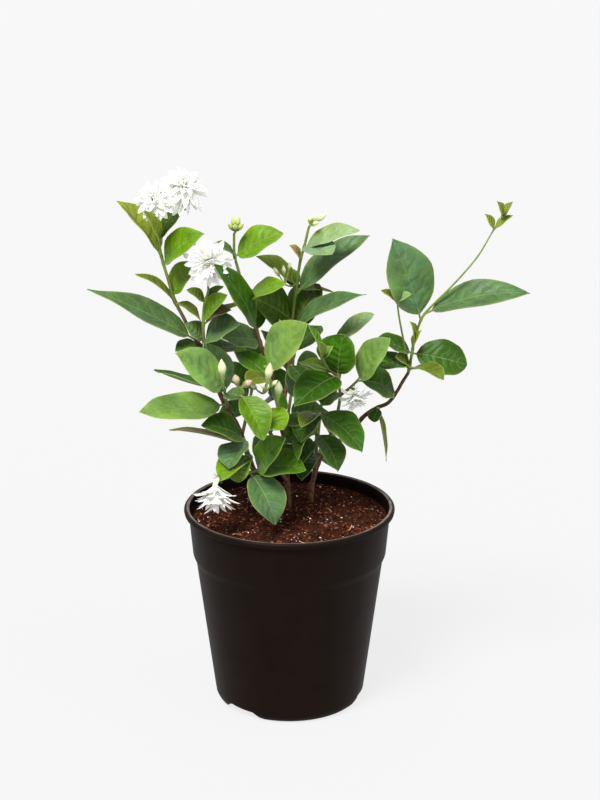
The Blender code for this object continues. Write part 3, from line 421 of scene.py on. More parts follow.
def paint(
    obj: Obj, tones: list[Vector], shares: list[Vector] | None = None, reaches: list[Vector] | None = None
) -> None:
    """Store what the finishes read at each vertex.

    Args:
        obj: The object to paint.
        tones: Linear colour.
        shares: Share along the piece, share across it from -1 to 1, and the piece's own random number.
        reaches: Millimetres along the piece, across it, and its half width there.
    """
    zeros = [Vector()] * len(tones)
    for name, kind, values in (
        ("tone", "FLOAT_COLOR", [(*tone, 1.0) for tone in tones]),
        ("share", "FLOAT_VECTOR", shares or zeros),
        ("reach", "FLOAT_VECTOR", reaches or zeros),
    ):
        layer = obj.data.attributes.get(name) or obj.data.attributes.new(name, kind, "POINT")
        flat = [number for value in values for number in value]
        layer.data.foreach_set("color" if kind == "FLOAT_COLOR" else "vector", flat)


def linear(code: str) -> Vector:
    """The linear colour of an sRGB hex code."""
    channels = [int(code[index:index + 2], 16) / 255 for index in (0, 2, 4)]
    return Vector([c / 12.92 if c <= 0.04045 else ((c + 0.055) / 1.055) ** 2.4 for c in channels])


def ease(low: float, high: float, value: float) -> float:
    """A smooth step from 0 at the low value to 1 at the high one."""
    share = min(max((value - low) / (high - low), 0.0), 1.0)
    return share * share * (3 - 2 * share)


def spoke(aside: Vector, other: Vector, turn: float) -> Vector:
    """The direction at this turn, in radians, from one axis towards the other."""
    return aside * math.cos(turn) + other * math.sin(turn)


def smooth_route(points: tuple[Point, ...], step: float) -> list[Vector]:
    """A smooth curve through a stem's points.

    Args:
        points: The points.
        step: About how far apart the curve's own points are.

    Returns:
        The curve's points.
    """
    knots = [Vector(point) for point in points]
    knots = [2 * knots[0] - knots[1]] + knots + [2 * knots[-1] - knots[-2]]
    route = []
    for before, start, end, after in zip(knots, knots[1:], knots[2:], knots[3:]):
        runs = max(1, round((end - start).length / step))
        for run in range(runs):
            t = run / runs
            straight = 2 * start + (end - before) * t
            bend = (2 * before - 5 * start + 4 * end - after) * t**2
            turn = (3 * start - 3 * end + after - before) * t**3
            route.append((straight + bend + turn) / 2)
    route.append(knots[-2])
    return route


def route_length(route: list[Vector]) -> float:
    """The length of a route."""
    return sum((end - start).length for start, end in zip(route, route[1:]))


def point_along(route: list[Vector], share: float) -> Vector:
    """The point at this share of a route's length."""
    left = share * route_length(route)
    for start, end in zip(route, route[1:]):
        length = (end - start).length
        if left <= length:
            return start.lerp(end, left / length)
        left -= length
    return route[-1].copy()


def sweep(
    name: str,
    route: list[Vector],
    radius_at: Callable[[float, float], float],
    tone_at: Callable[[float], Vector],
    sides: int,
    seed: float = 0.0,
) -> Obj:
    """A closed round solid along a route.

    Args:
        name: The object's name.
        route: The points it follows, in millimetres.
        radius_at: Its radius by share along and by turn round it.
        tone_at: Its colour by share along.
        sides: How many sides it has.
        seed: The piece's own random number.

    Returns:
        The new object.
    """
    total = max(route_length(route), 0.001)
    across = (route[1] - route[0]).orthogonal().normalized()
    verts, tones, shares, reaches = [], [], [], []
    walked = 0.0
    for index, place in enumerate(route):
        before, after = route[max(index - 1, 0)], route[min(index + 1, len(route) - 1)]
        along = (after - before).normalized()
        across = (across - along * across.dot(along)).normalized()
        other = along.cross(across)
        if index:
            walked += (place - route[index - 1]).length
        share = walked / total
        for side in range(sides):
            turn = 2 * math.pi * side / sides
            radius = radius_at(share, turn)
            verts.append((place + spoke(across, other, turn) * radius) * MM)
            tones.append(tone_at(share))
            shares.append(Vector((share, side / sides, seed)))
            reaches.append(Vector((walked, radius * turn, radius)))
    faces = [tuple(reversed(range(sides)))]
    for low in range(0, len(verts) - sides, sides):
        for side in range(sides):
            step = (side + 1) % sides
            faces.append((low + side, low + step, low + sides + step, low + sides + side))
    faces.append(tuple(range(len(verts) - sides, len(verts))))
    obj = mesh_object(name, verts, faces)
    paint(obj, tones, shares, reaches)
    return obj


def shaft(name: str, route: list[Vector], start: float, growth: float, code: str, sides: int) -> Obj:
    """A swept solid of one colour, whose radius grows evenly from its start by this much."""
    tone = linear(code)
    return sweep(name, route, lambda share, turn: start + growth * share, lambda share: tone, sides)


def turned_wall(name: str, profile: Pairs, steps: int) -> Obj:
    """A closed turned solid, extruded ring by ring from a disc.

    Args:
        name: The object's name.
        profile: (radius, height) pairs in millimetres, from its first ring to its last.
        steps: How many sides it has.

    Returns:
        The new object.
    """
    deselect()
    radius, height = profile[0]
    bpy.ops.mesh.primitive_circle_add(
        vertices=steps, radius=radius * MM, location=(0.0, 0.0, height * MM), fill_type="NGON")
    obj = bpy.context.active_object
    obj.name = name
    bpy.ops.object.mode_set(mode="EDIT")
    bpy.ops.mesh.select_all(action="SELECT")
    for after_radius, after_height in profile[1:]:
        bpy.ops.mesh.extrude_region_move()
        bpy.ops.transform.translate(value=(0.0, 0.0, (after_height - height) * MM))
        bpy.ops.transform.resize(value=(after_radius / radius, after_radius / radius, 1.0))
        radius, height = after_radius, after_height
    bpy.ops.mesh.select_all(action="SELECT")
    bpy.ops.mesh.normals_make_consistent(inside=False)
    bpy.ops.object.mode_set(mode="OBJECT")
    bpy.ops.object.transform_apply(location=True, rotation=True, scale=True)
    return obj


# Finishes


def add_node(tree: bpy.types.NodeTree, kind: str, inputs: dict, **options: object) -> bpy.types.Node:
    """Add a shader node.

    Args:
        tree: The material's nodes.
        kind: The node's type.
        inputs: Its inputs by name or number, as values or as sockets to link from.
        options: Its settings by name.

    Returns:
        The new node.
    """
    made = tree.nodes.new("ShaderNode" + kind)
    for key, value in options.items():
        setattr(made, key, value)
    feed(tree, made, inputs)
    return made


def feed(tree: bpy.types.NodeTree, node: bpy.types.Node, inputs: dict) -> None:
    """Set a node's own inputs, by name or number, or link them from sockets."""
    for key, value in inputs.items():
        if isinstance(value, Socket):
            tree.links.new(value, node.inputs[key])
        else:
            node.inputs[key].default_value = value


def tint(code: str) -> tuple[float, ...]:
    """The linear colour of an sRGB hex code, opaque, as a node's input takes it."""
    return (*linear(code), 1.0)


class Mixer:
    """The nodes of one material, and the sums they make on its object's own coordinates."""

    def __init__(self, tree: bpy.types.NodeTree) -> None:
        """Start with the material's empty tree."""
        self.tree = tree

    def math(self, operation: str, *values: object) -> Socket:
        """The result of a Math node on these values."""
        return add_node(self.tree, "Math", dict(enumerate(values)), operation=operation).outputs[0]

    def times(self, first: object, second: object) -> Socket:
        """One value times another."""
        return self.math("MULTIPLY", first, second)

    def plus(self, first: object, second: object) -> Socket:
        """One value and another."""
        return self.math("ADD", first, second)

    def ramp(self, value: Socket, low: float, high: float, *ends: float, kind: str = "LINEAR") -> Socket:
        """A value's change between two limits, from 0 to 1 or between these ends."""
        inputs = dict(enumerate((value, low, high, *ends)))
        return add_node(self.tree, "MapRange", inputs, interpolation_type=kind).outputs[0]

    def step(self, value: Socket, low: float, high: float, *ends: float) -> Socket:
        """A smooth step of a value between two limits, from the first end to the second."""
        return self.ramp(value, low, high, *ends, kind="SMOOTHSTEP")

    def blend(self, share: object, below: object, above: object, kind: str = "MIX") -> Socket:
        """The colour that a Mix node of this blend kind gives."""
        inputs = {0: share, 6: below, 7: above}
        return add_node(self.tree, "Mix", inputs, data_type="RGBA", blend_type=kind).outputs[2]

    def lit(self, colour: object, light: Socket) -> Socket:
        """A colour made lighter or darker by a factor."""
        grey = add_node(self.tree, "CombineColor", {0: light, 1: light, 2: light}).outputs[0]
        return self.blend(1.0, colour, grey, "MULTIPLY")

    def place(self) -> Socket:
        """The object's own coordinates."""
        return add_node(self.tree, "TexCoord", {}).outputs["Object"]

    def noise(self, place: Socket, scale: float, detail: float) -> Socket:
        """Noise at a place."""
        inputs = {"Vector": place, "Scale": scale, "Detail": detail}
        return add_node(self.tree, "TexNoise", inputs).outputs[0]

    def grain(self, size: float, detail: float, low: float, high: float) -> Socket:
        """Noise of this size in millimetres, between two values."""
        return self.ramp(self.noise(self.place(), 1.0 / (size * MM), detail), 0.3, 0.7, low, high)

    def streaks(self, stretch: float, scale: float, detail: float) -> Socket:
        """Noise drawn out along the height, by one over the stretch."""
        inputs = {"Vector": self.place(), "Scale": (1.0, 1.0, stretch)}
        return self.noise(add_node(self.tree, "Mapping", inputs).outputs[0], scale, detail)

    def painted(self, name: str) -> Socket:
        """The tone, share or reach painted on the mesh."""
        node = add_node(self.tree, "Attribute", {}, attribute_name=name)
        return node.outputs["Color" if name == "tone" else "Vector"]

    def parts(self, vector: Socket) -> list[Socket]:
        """A vector's three numbers."""
        return list(add_node(self.tree, "SeparateXYZ", {0: vector}).outputs)

    def bump(self, height: Socket, depth: float) -> Socket:
        """The normal of a relief this many millimetres deep."""
        inputs = {"Height": height, "Distance": depth * MM, "Strength": 1.0}
        return add_node(self.tree, "Bump", inputs).outputs[0]


@dataclass(frozen=True)
class Finish:
    """The base of every finish: a Principled shader with its own fixed gloss."""

    name: str
    roughness: float
    specular: float = 0.5

    def make(self) -> bpy.types.Material:
        """Build the material."""
        material = bpy.data.materials.new(self.name)
        material.use_nodes = True
        tree = material.node_tree
        shader = tree.nodes["Principled BSDF"]
        shader.inputs["Roughness"].default_value = self.roughness
        shader.inputs["Specular IOR Level"].default_value = self.specular
        feed(tree, shader, self.inputs(Mixer(tree)))
        return material

    def inputs(self, mix: Mixer) -> dict[str, object]:
        """What the shader's own sockets get besides the gloss."""
        raise NotImplementedError


@dataclass(frozen=True)
class LeafSkin(Finish):
    """Waxy leaf skin: a cuticle over green tissue, quilted between the veins pressed into its upper face."""

    vein: str = "b4c47a"
    rib_share: float = 0.42
    vein_share: float = 0.20
    vein_pairs: float = 6.5
    warm: tuple[float, float, float, float] = (1.22, 1.10, 0.62, 1.0)
    # A pale grey-green mixed into the base colour: partly the face's own paler tone, partly a painted sheen
    pale_and_sheen: str = "8f9f86"
    pale_and_sheen_share: float = 0.0
    relief: float = 0.4

    def inputs(self, mix: Mixer) -> dict[str, object]:
        """The veins, the clouded tissue and the relief."""
        tone = mix.painted("tone")
        along, across, own = mix.parts(mix.painted("share"))
        _, far, half = mix.parts(mix.painted("reach"))
        aside, far = mix.math("ABSOLUTE", across), mix.math("ABSOLUTE", far)
        # Pairs of veins leave the rib at a slant and curve up along the margin.
        swept = mix.times(mix.math("POWER", aside, 1.3), 0.22)
        swept = mix.plus(swept, mix.grain(9.0, 1.0, -0.035, 0.035))
        phase = mix.times(mix.math("SUBTRACT", along, swept), self.vein_pairs)
        ridge = mix.math("PINGPONG", mix.plus(phase, mix.times(own, 3.0)), 0.5)
        fade = mix.step(aside, 0.35, 0.95, 1.0, 0.1)
        side_vein = mix.times(mix.times(mix.step(ridge, 0.0, 0.09, 1.0, 0.0), fade), self.vein_share)
        rib = mix.times(mix.step(far, 0.15, 0.75, 1.0, 0.0), mix.step(along, 0.4, 1.0, 1.0, 0.35))
        veins = mix.math("MAXIMUM", side_vein, mix.times(rib, self.rib_share))
        # The tissue is clouded light and dark, and yellower in patches.
        cloud = mix.times(mix.grain(15.0, 3.0, 0.74, 1.22), mix.grain(4.0, 2.0, 0.9, 1.1))
        fine = mix.grain(1.1, 2.0, 0.92, 1.08)
        colour = mix.lit(tone, mix.times(cloud, fine))
        yellow = mix.blend(1.0, colour, self.warm, "MULTIPLY")
        colour = mix.blend(mix.grain(24.0, 2.0, 0.0, 0.9), colour, yellow)
        pale = mix.blend(0.55, colour, tint(self.vein))
        edge = mix.step(mix.math("SUBTRACT", half, far), 0.05, 0.55, 0.55, 0.0)
        colour = mix.blend(mix.math("MAXIMUM", veins, edge), colour, pale)
        quilt = mix.times(mix.step(ridge, 0.0, 0.5, 0.0, 1.0), fade)
        height = mix.plus(mix.math("SUBTRACT", quilt, rib), mix.times(cloud, 0.8))
        height = mix.plus(height, mix.times(fine, 0.35))
        return {
            # Part of the base colour is the pale grey-green: the face's own paler tone and a painted sheen
            "Base Color": mix.blend(self.pale_and_sheen_share, colour, tint(self.pale_and_sheen)),
            "Normal": mix.bump(height, self.relief),
            "Subsurface Weight": 0.10,
            "Subsurface Radius": (0.6, 1.0, 0.2),
            "Subsurface Scale": MM,
            "Coat Weight": 0.05,
            "Coat Roughness": 0.4,
        }


@dataclass(frozen=True)
class GreenSkin(Finish):
    """Young bark and calyx: matt living tissue, clouded, with fine pale pores."""

    depth: float = 0.12

    def inputs(self, mix: Mixer) -> dict[str, object]:
        """The clouded tissue and its pores."""
        tone = mix.painted("tone")
        cloud = mix.grain(6.0, 3.0, 0.8, 1.2)
        fine = mix.grain(0.9, 2.0, 0.85, 1.15)
        return {"Base Color": mix.lit(tone, mix.times(cloud, fine)), "Normal": mix.bump(fine, self.depth)}


@dataclass(frozen=True)
class PetalSkin(Finish):
    """Petals and buds: thin living tissue with a soft sheen and faint veins along its length."""

    streak_count: float = 9.0
    streak_depth: float = 0.12
    subsurface: float = 0.4
    depth: float = 1.5

    def inputs(self, mix: Mixer) -> dict[str, object]:
        """The faint veins and the light that passes into the tissue."""
        tone = mix.painted("tone")
        _, across, _ = mix.parts(mix.painted("share"))
        streak = mix.math("PINGPONG", mix.times(across, self.streak_count / 2), 0.5)
        light = mix.times(mix.step(streak, 0.0, 0.5, 0.95, 1.0), mix.grain(3.0, 2.0, 0.96, 1.03))
        return {
            "Base Color": mix.lit(tone, light),
            "Normal": mix.bump(streak, self.streak_depth),
            "Subsurface Weight": self.subsurface,
            "Subsurface Radius": (1.0, 0.95, 0.85),
            "Subsurface Scale": self.depth * MM,
            "Sheen Weight": 0.3,
        }


@dataclass(frozen=True)
class Bark(Finish):
    """Woody cane bark: brown cork, cracked lengthwise, with paler weathered ridges."""

    dark: str = "3a261a"
    light: str = "7a5a40"
    crack_depth: float = 0.6

    def inputs(self, mix: Mixer) -> dict[str, object]:
        """The cracks and the worn ridges between them."""
        crack = mix.streaks(0.35, 900.0, 4.0)
        colour = mix.blend(mix.ramp(crack, 0.35, 0.68), tint(self.dark), tint(self.light))
        return {"Base Color": colour, "Normal": mix.bump(crack, self.crack_depth)}


@dataclass(frozen=True)
class MouldedPlastic(Finish):
    """Injection-moulded polypropylene: dark and satin, faintly streaked by its flow, dusty at the lip, with a
    painted highlight along the lip's inner edge.
    """

    body: str = "0f0806"
    dust: str = "56402f"
    # A painted highlight: the pale line along the lip's inner top edge, then the heights and radii where it
    # lies
    lip_highlight: str = "8c8078"
    lip: tuple[float, float] = (0.1495, 0.152)
    highlight_heights: tuple[float, float] = (0.1513, 0.1517)
    highlight_radii: tuple[float, float] = (0.0756, 0.0764)

    def inputs(self, mix: Mixer) -> dict[str, object]:
        """The flow streaks, the dust on the lip and a painted highlight: a pale line along the lip's inner
        top edge.
        """
        place = mix.place()
        streak = mix.streaks(0.15, 60.0, 3.0)
        height = mix.parts(place)[2]
        dusty = mix.times(mix.grain(22.0, 4.0, 0.2, 1.2), streak)
        amount = mix.times(mix.ramp(height, *self.lip, 0.05, 0.14), dusty)
        colour = mix.blend(amount, tint(self.body), tint(self.dust))
        # A painted highlight: pale on the lip's top inside its inner edge, only faintly tinted further out
        level = add_node(mix.tree, "VectorMath", {0: place, 1: (1, 1, 0)}, operation="MULTIPLY").outputs[0]
        far = add_node(mix.tree, "VectorMath", {0: level}, operation="LENGTH").outputs[1]
        highlight = mix.times(mix.ramp(height, *self.highlight_heights), mix.ramp(far, *self.highlight_radii, 0.8, 0.04))
        highlight = mix.times(highlight, mix.grain(9.0, 3.0, 0.4, 1.0))
        return {
            "Base Color": mix.blend(highlight, colour, tint(self.lip_highlight)),
            "Roughness": mix.ramp(streak, 0.0, 1.0, self.roughness - 0.07, self.roughness + 0.1),
            "Specular Tint": (1.0, 0.84, 0.74, 1.0),
            "Normal": mix.bump(mix.grain(0.8, 2.0, 0.0, 1.0), 0.03),
        }


@dataclass(frozen=True)
class PottingMix(Finish):
    """Potting mix: damp red-brown coir and bark crumbs, lighter where the top has dried."""

    damp: str = "1a0b07"
    dry: str = "7e4228"
    crumb_depth: float = 1.0

    def inputs(self, mix: Mixer) -> dict[str, object]:
        """The crumbs, their own colours and the dry patches."""
        tone = mix.painted("tone")
        ground = mix.blend(mix.grain(1.3, 4.0, 0.0, 1.0), tint(self.damp), tint(self.dry))
        ground = mix.blend(0.75, ground, tone)
        relief = mix.bump(mix.grain(0.9, 4.0, 0.0, 1.0), self.crumb_depth)
        return {"Base Color": mix.lit(ground, mix.grain(18.0, 3.0, 0.55, 1.25)), "Normal": relief}


@dataclass(frozen=True)
class StudioFloor(Finish):
    """Seamless studio paper: matt, even and almost white."""

    paper: str = "4c4c4c"
    glow: float = 0.793

    def inputs(self, mix: Mixer) -> dict[str, object]:
        """Its plain colour and its glow."""
        white = (1.0, 1.0, 1.0, 1.0)
        return {"Base Color": tint(self.paper), "Emission Color": white, "Emission Strength": self.glow}


class Finishes:
    """One material of each finish."""

    def __init__(self) -> None:
        """Build them all."""
        self.leaf_top = LeafSkin("leaf_upper_waxed", 0.42, 0.18).make()
        # The under face gets a pale grey-green: partly its own paler tone, partly a painted sheen
        self.leaf_under = LeafSkin(
            "leaf_under_matt", 0.6, 0.15, vein="c0ca92", pale_and_sheen="7f8c5c", pale_and_sheen_share=0.3, relief=-0.3).make()
        self.green = GreenSkin("green_shoot_skin", 0.55, 0.4).make()
        self.petal = PetalSkin("petal_satin", 0.55, 0.35).make()
        self.bud = PetalSkin("bud_satin", 0.45, 0.3, streak_count=5.0, subsurface=0.3, depth=1.0).make()
        self.bark = Bark("cane_bark_cork", 0.85, 0.25).make()
        self.plastic = MouldedPlastic("polypropylene_moulded", 0.5, 0.06).make()
        self.mix = PottingMix("potting_mix_coir", 0.95, 0.08).make()
        self.perlite = GreenSkin("perlite_expanded_glass", 0.9, 0.2, depth=0.3).make()
        self.paper = StudioFloor("studio_paper", 0.9, 0.1).make()


# Plant parts


class BladePattern:
    """A flat unit blade, modelled once and copied for each leaf or petal."""

    def __init__(self, name: str, columns: int, rows: int) -> None:
        """Add the grid that every copy starts from."""
        deselect()
        bpy.ops.mesh.primitive_grid_add(x_subdivisions=columns, y_subdivisions=rows, size=2.0)
        self.pattern = bpy.context.active_object
        self.pattern.name = name

    def copy(
        self,
        name: str,
        place: Callable[[float, float], Vector],
        half_at: Callable[[float], float],
        tone_at: Callable[[float, float], Vector],
        length: float,
        seed: float,
    ) -> Obj:
        """A copy of the pattern with its own mesh, shaped and painted.

        Args:
            name: The copy's name.
            place: Where a point goes, by share along and share across from -1 to 1, in millimetres.
            half_at: Half the blade's width by share along.
            tone_at: The blade's colour by share along and across.
            length: The blade's length.
            seed: The blade's own random number.

        Returns:
            The new object.
        """
        blade = add_object(name, self.pattern.data.copy())
        tones, shares, reaches = [], [], []
        for vert in blade.data.vertices:
            across = vert.co.x
            even = (vert.co.y + 1) / 2
            along = EVEN_ROWS * even + CROWDED_ROWS * (0.5 - 0.5 * math.cos(math.pi * even))
            tones.append(tone_at(along, across))
            shares.append(Vector((along, across, seed)))
            half = half_at(along)
            reaches.append(Vector((along * length, across * half, half)))
            vert.co = place(along, across) * MM
        paint(blade, tones, shares, reaches)
        return blade

    def drop(self) -> None:
        """Remove the pattern once every copy is made."""
        bpy.data.objects.remove(self.pattern, do_unlink=True)


def half_width(
    share: float, outline: Outline, width: float, stalk: float, least: float, taper: float
) -> float:
    """Half a blade's width at a share of its length.

    Args:
        share: The share along it.
        outline: Its outline.
        width: Its full width.
        stalk: The share that is stalk.
        least: Half the width of the stalk.
        taper: How much the tip is drawn in.

    Returns:
        The half width in millimetres.
    """
    root, tip = outline.value
    along = min(max((share - stalk) / (1 - stalk), 0.0), 1.0)
    peak = (root / (root + tip)) ** root * (tip / (root + tip)) ** tip
    half = width / 2 * along**root * (1 - along) ** tip / peak
    half *= 1 - taper * ease(0.80, 1.0, along)
    return max(half, least * (1 - ease(0.96, 1.0, share)))


@dataclass(frozen=True)
class LeafMaker:
    """Shapes one leaf: folded, arched, wavy at its margin, with a raised rib under it."""

    wide: BladePattern
    narrow: BladePattern
    stalk_share: float = 0.08
    stalk_half: float = 0.55
    small: float = 24.0
    wave: float = 0.055
    twist: float = 7.0
    droop: float = 0.03
    crease: float = 6.0
    tip_taper: float = 0.28
    margin_tone: Point = (0.42, 0.46, 0.12)
    rib_tone: Point = (0.42, 0.48, 0.16)
    rib_tip: float = 0.12
    rib_swell: float = 0.62
    rib_depth: float = 0.25

    def make(self, name: str, leaf: Leaf, route: list[Vector], chance: random.Random) -> tuple[Obj, Obj]:
        """Shape the leaf on its stem.

        Args:
            name: The leaf's name.
            leaf: Its plan.
            route: Its stem's route.
            chance: The shoot's seeded draws.

        Returns:
            The blade and its rib.
        """
        root = point_along(route, leaf.share)
        heading, pitch = math.radians(leaf.heading), math.radians(leaf.pitch)
        level = Vector((math.cos(heading), math.sin(heading), 0.0))
        along = level * math.cos(pitch) + Vector((0.0, 0.0, math.sin(pitch)))
        side = Vector((math.sin(heading), -math.cos(heading), 0.0))
        up = side.cross(along)
        twist = chance.uniform(-self.twist, self.twist)
        waves = chance.uniform(1.6, 2.6)
        phases = (chance.uniform(0, 6.3), chance.uniform(0, 6.3))
        bright = chance.uniform(0.9, 1.1)
        warm = chance.uniform(-0.06, 0.06)
        base = linear(leaf.tone.value)
        tone = Vector((base.x * bright * (1 + warm), base.y * bright, base.z * bright * (1 - warm)))
        arch = leaf.arch / 100

        def half_at(share: float) -> float:
            """Half the leaf's width."""
            stalk, least = self.stalk_share, self.stalk_half
            return half_width(share, leaf.outline, leaf.width, stalk, least, self.tip_taper)

        def place(share: float, across: float) -> Vector:
            """Where a point of the leaf goes."""
            roll = math.radians(leaf.roll + twist * (share - 0.5))
            over, normal = spoke(side, up, roll), spoke(up, -side, roll)
            half = half_at(share)
            fold = math.radians(leaf.fold + self.crease) * min(1.0, 4 * (1 - share) + 0.3)
            gull = math.sqrt(across**2 + 0.02) - math.sqrt(0.02) - 0.16 * across**4
            lift = arch * leaf.length * 4 * share * (1 - share) + gull * half * math.sin(fold)
            lift -= self.droop * leaf.length * share**3
            phase = phases[0] if across < 0 else phases[1]
            ripple = math.sin(2 * math.pi * waves * share + phase) * ease(0.1, 0.3, share) * across**2
            lift += self.wave * leaf.width / 2 * ripple
            return root + along * share * leaf.length + normal * lift + over * across * half * math.cos(fold)

        def tone_at(share: float, across: float) -> Vector:
            """The leaf's colour, a little yellower at its stalk and margin."""
            pale = 0.22 * (1 - ease(0.0, 0.14, share)) + 0.10 * ease(0.88, 1.0, abs(across))
            return tone.lerp(Vector(self.margin_tone), pale)

        def rib_radius(share: float, _: float) -> float:
            """The rib's radius."""
            return self.rib_tip + self.rib_swell * (1 - share) ** 0.8

        pattern = self.wide if leaf.length > self.small else self.narrow
        seed = chance.random()
        blade = pattern.copy(name, place, half_at, tone_at, leaf.length, seed)
        under = spoke(up, -side, math.radians(leaf.roll)) * self.rib_depth
        middle = [root - along * 0.4] + [place(run / 8, 0.0) for run in range(1, 8)]
        low = [point - under for point in middle]
        rib_tone = tone.lerp(Vector(self.rib_tone), 0.45)
        return blade, sweep(name + "_rib", low, rib_radius, lambda share: rib_tone, 5, seed)


@dataclass(frozen=True)
class BudMaker:
    """Shapes a bud: a slim tube that swells to a pointed head, in a calyx of thin teeth on its stalk."""

    stalk_radius: float = 0.6
    stalk_tone: str = "84994a"
    calyx_tone: str = "7d9a3c"
    teeth: int = 6
    tooth_radius: tuple[float, float] = (0.42, -0.34)
    rings: int = 14
    profile: tuple[tuple[float, float], ...] = (
        (0.0, 0.34), (0.16, 0.38), (0.32, 0.62), (0.48, 0.92), (0.60, 1.0), (0.74, 0.82), (0.88, 0.44),
        (1.0, 0.05))
    tooth: tuple[tuple[float, float], ...] = ((0.0, 0.0), (0.35, 0.55), (0.7, 0.9), (1.0, 1.25))

    def radius_share(self, share: float) -> float:
        """The bud's radius at a share of its length, as a share of its widest."""
        for (low, below), (high, above) in zip(self.profile, self.profile[1:]):
            if share <= high:
                return below + (above - below) * ease(low, high, share)
        return self.profile[-1][1]

    def make(self, name: str, bud: Bud, stalk_end: Vector, chance: random.Random) -> list[Obj]:
        """Shape the bud, its stalk and its calyx.

        Args:
            name: The bud's name.
            bud: Its plan.
            stalk_end: The end of the stem that it grows from.
            chance: The bunch's seeded draws.

        Returns:
            The bud first, then its stalk and teeth.
        """
        tip = Vector(bud.tip)
        along = (tip - stalk_end).normalized()
        foot = tip - along * min(bud.length, 0.95 * (tip - stalk_end).length)
        foot_tone, head_tone = (linear(code) for code in bud.tint.value)
        green = foot_tone * chance.uniform(0.85, 1.15)
        cream = head_tone * chance.uniform(0.85, 1.05)
        twist = chance.uniform(0, 6.3)

        def radius_at(share: float, turn: float) -> float:
            """The radius, with five soft folds that wind up the bud."""
            return bud.radius * self.radius_share(share) * (1 + 0.05 * math.cos(5 * turn + 4 * share + twist))

        def tone_at(share: float) -> Vector:
            """Green to cream."""
            return green.lerp(cream, ease(0.15, 0.75, share))

        route = [foot + (tip - foot) * (ring / self.rings) for ring in range(self.rings + 1)]
        pieces = [sweep(name, route, radius_at, tone_at, 12, chance.random())]
        stalk = [stalk_end - along * 0.5, stalk_end.lerp(foot, 0.5), foot + along * 0.4]
        pieces.append(shaft(name + "_stalk", stalk, self.stalk_radius, 0.0, self.stalk_tone, 6))
        aside = along.orthogonal().normalized()
        other = along.cross(aside)
        start = chance.uniform(0, 6.3)
        reach = 0.42 * min(bud.length, 11.0)
        for tooth in range(self.teeth):
            out = spoke(aside, other, start + 2 * math.pi * tooth / self.teeth)
            bend = bud.radius * chance.uniform(0.75, 1.15)
            route = [foot + along * reach * rise + out * bend * far for rise, far in self.tooth]
            pieces.append(shaft(f"{name}_tooth_{tooth}", route, *self.tooth_radius, self.calyx_tone, 4))
        return pieces


@dataclass(frozen=True)
class BloomMaker:
    """Shapes a double bloom: crowded whorls of narrow petals round a bent tube, irregular as they open."""

    pattern: BladePattern
    fill: float = 2.3
    inner: tuple[int, float, float] = (8, 22, 0.62)
    neck: float = 3.0
    slimness: float = 0.27
    arch: float = 0.10
    cup: float = 0.35
    flutter: float = 0.08
    jitter: float = 12.0
    droop: float = 0.10
    whites: tuple[str, str] = ("f4f5ec", "fbfbf6")
    throat: str = "e6eac8"
    tube_tone: str = "dfe6bd"
    tube_radius: tuple[float, float] = (0.9, 1.5)

    def petal(
        self, name: str, root: Vector, along: Vector, over: Vector, length: float, chance: random.Random
    ) -> Obj:
        """Shape one petal.

        Args:
            name: Its name.
            root: Where it grows from.
            along: Its direction.
            over: The direction across it.
            length: Its length.
            chance: The bloom's seeded draws.

        Returns:
            The petal.
        """
        normal = over.cross(along)
        width = self.slimness * length * chance.uniform(0.8, 1.3)
        arch = self.arch * chance.uniform(0.4, 1.6)
        curl = chance.uniform(-0.05, 0.20)
        lean = chance.uniform(-0.12, 0.12)
        phase = chance.uniform(0, 6.3)
        dull, bright = (linear(code) for code in self.whites)
        white = dull.lerp(bright, chance.random())
        throat = linear(self.throat)

        def half_at(share: float) -> float:
            """Half the petal's width."""
            return half_width(share, PETAL, width, 0.0, 0.5, 0.12)

        def place(share: float, across: float) -> Vector:
            """Where a point of the petal goes."""
            half = half_at(share)
            lift = arch * length * 4 * share * (1 - share) - curl * length * share**3
            lift += self.cup * half * across**2 + self.flutter * half * math.sin(7 * share + phase) * across
            sway = lean * length * share**2
            down = Vector((0.0, 0.0, self.droop * length * share**2))
            return root + along * share * length + normal * lift + over * (across * half + sway) - down

        def tone_at(share: float, _: float) -> Vector:
            """White, with a green-yellow throat."""
            return throat.lerp(white, ease(0.0, 0.4, share))

        return self.pattern.copy(name, place, half_at, tone_at, length, chance.random())

    def make(self, name: str, bloom: Bloom, stem_end: Vector) -> list[Obj]:
        """Shape the whole bloom.

        Args:
            name: The bloom's name.
            bloom: Its plan.
            stem_end: Where its stem ends.

        Returns:
            The petals, with the corolla tube last.
        """
        chance = random.Random(name)
        centre = Vector(bloom.centre)
        axis = Vector(bloom.face).normalized()
        aside = axis.cross(Vector((0.3, 1.0, 0.2))).normalized()
        other = axis.cross(aside)
        pieces = []
        for whorl, (planned, spread, share) in enumerate((*bloom.whorls, self.inner)):
            count = round(planned * self.fill)
            for index in range(count):
                turn = 2 * math.pi * (index + whorl / 2 + chance.uniform(-0.3, 0.3)) / count
                lean = math.radians(spread + chance.uniform(-self.jitter, self.jitter))
                out = spoke(aside, other, turn)
                along = spoke(axis, out, lean)
                over = along.cross(axis).normalized()
                length = bloom.diameter / 2 * share * chance.uniform(0.86, 1.08)
                root = centre - axis * (1.8 - 0.7 * whorl + chance.uniform(-0.5, 0.5)) + out * 0.9
                pieces.append(self.petal(f"{name}_petal_{whorl}_{index}", root, along, over, length, chance))
        neck = centre - axis * self.neck
        route = smooth_route((stem_end, (stem_end + neck) / 2, neck, centre), 1.5)
        pieces.append(shaft(name + "_tube", route, *self.tube_radius, self.tube_tone, 8))
        return pieces


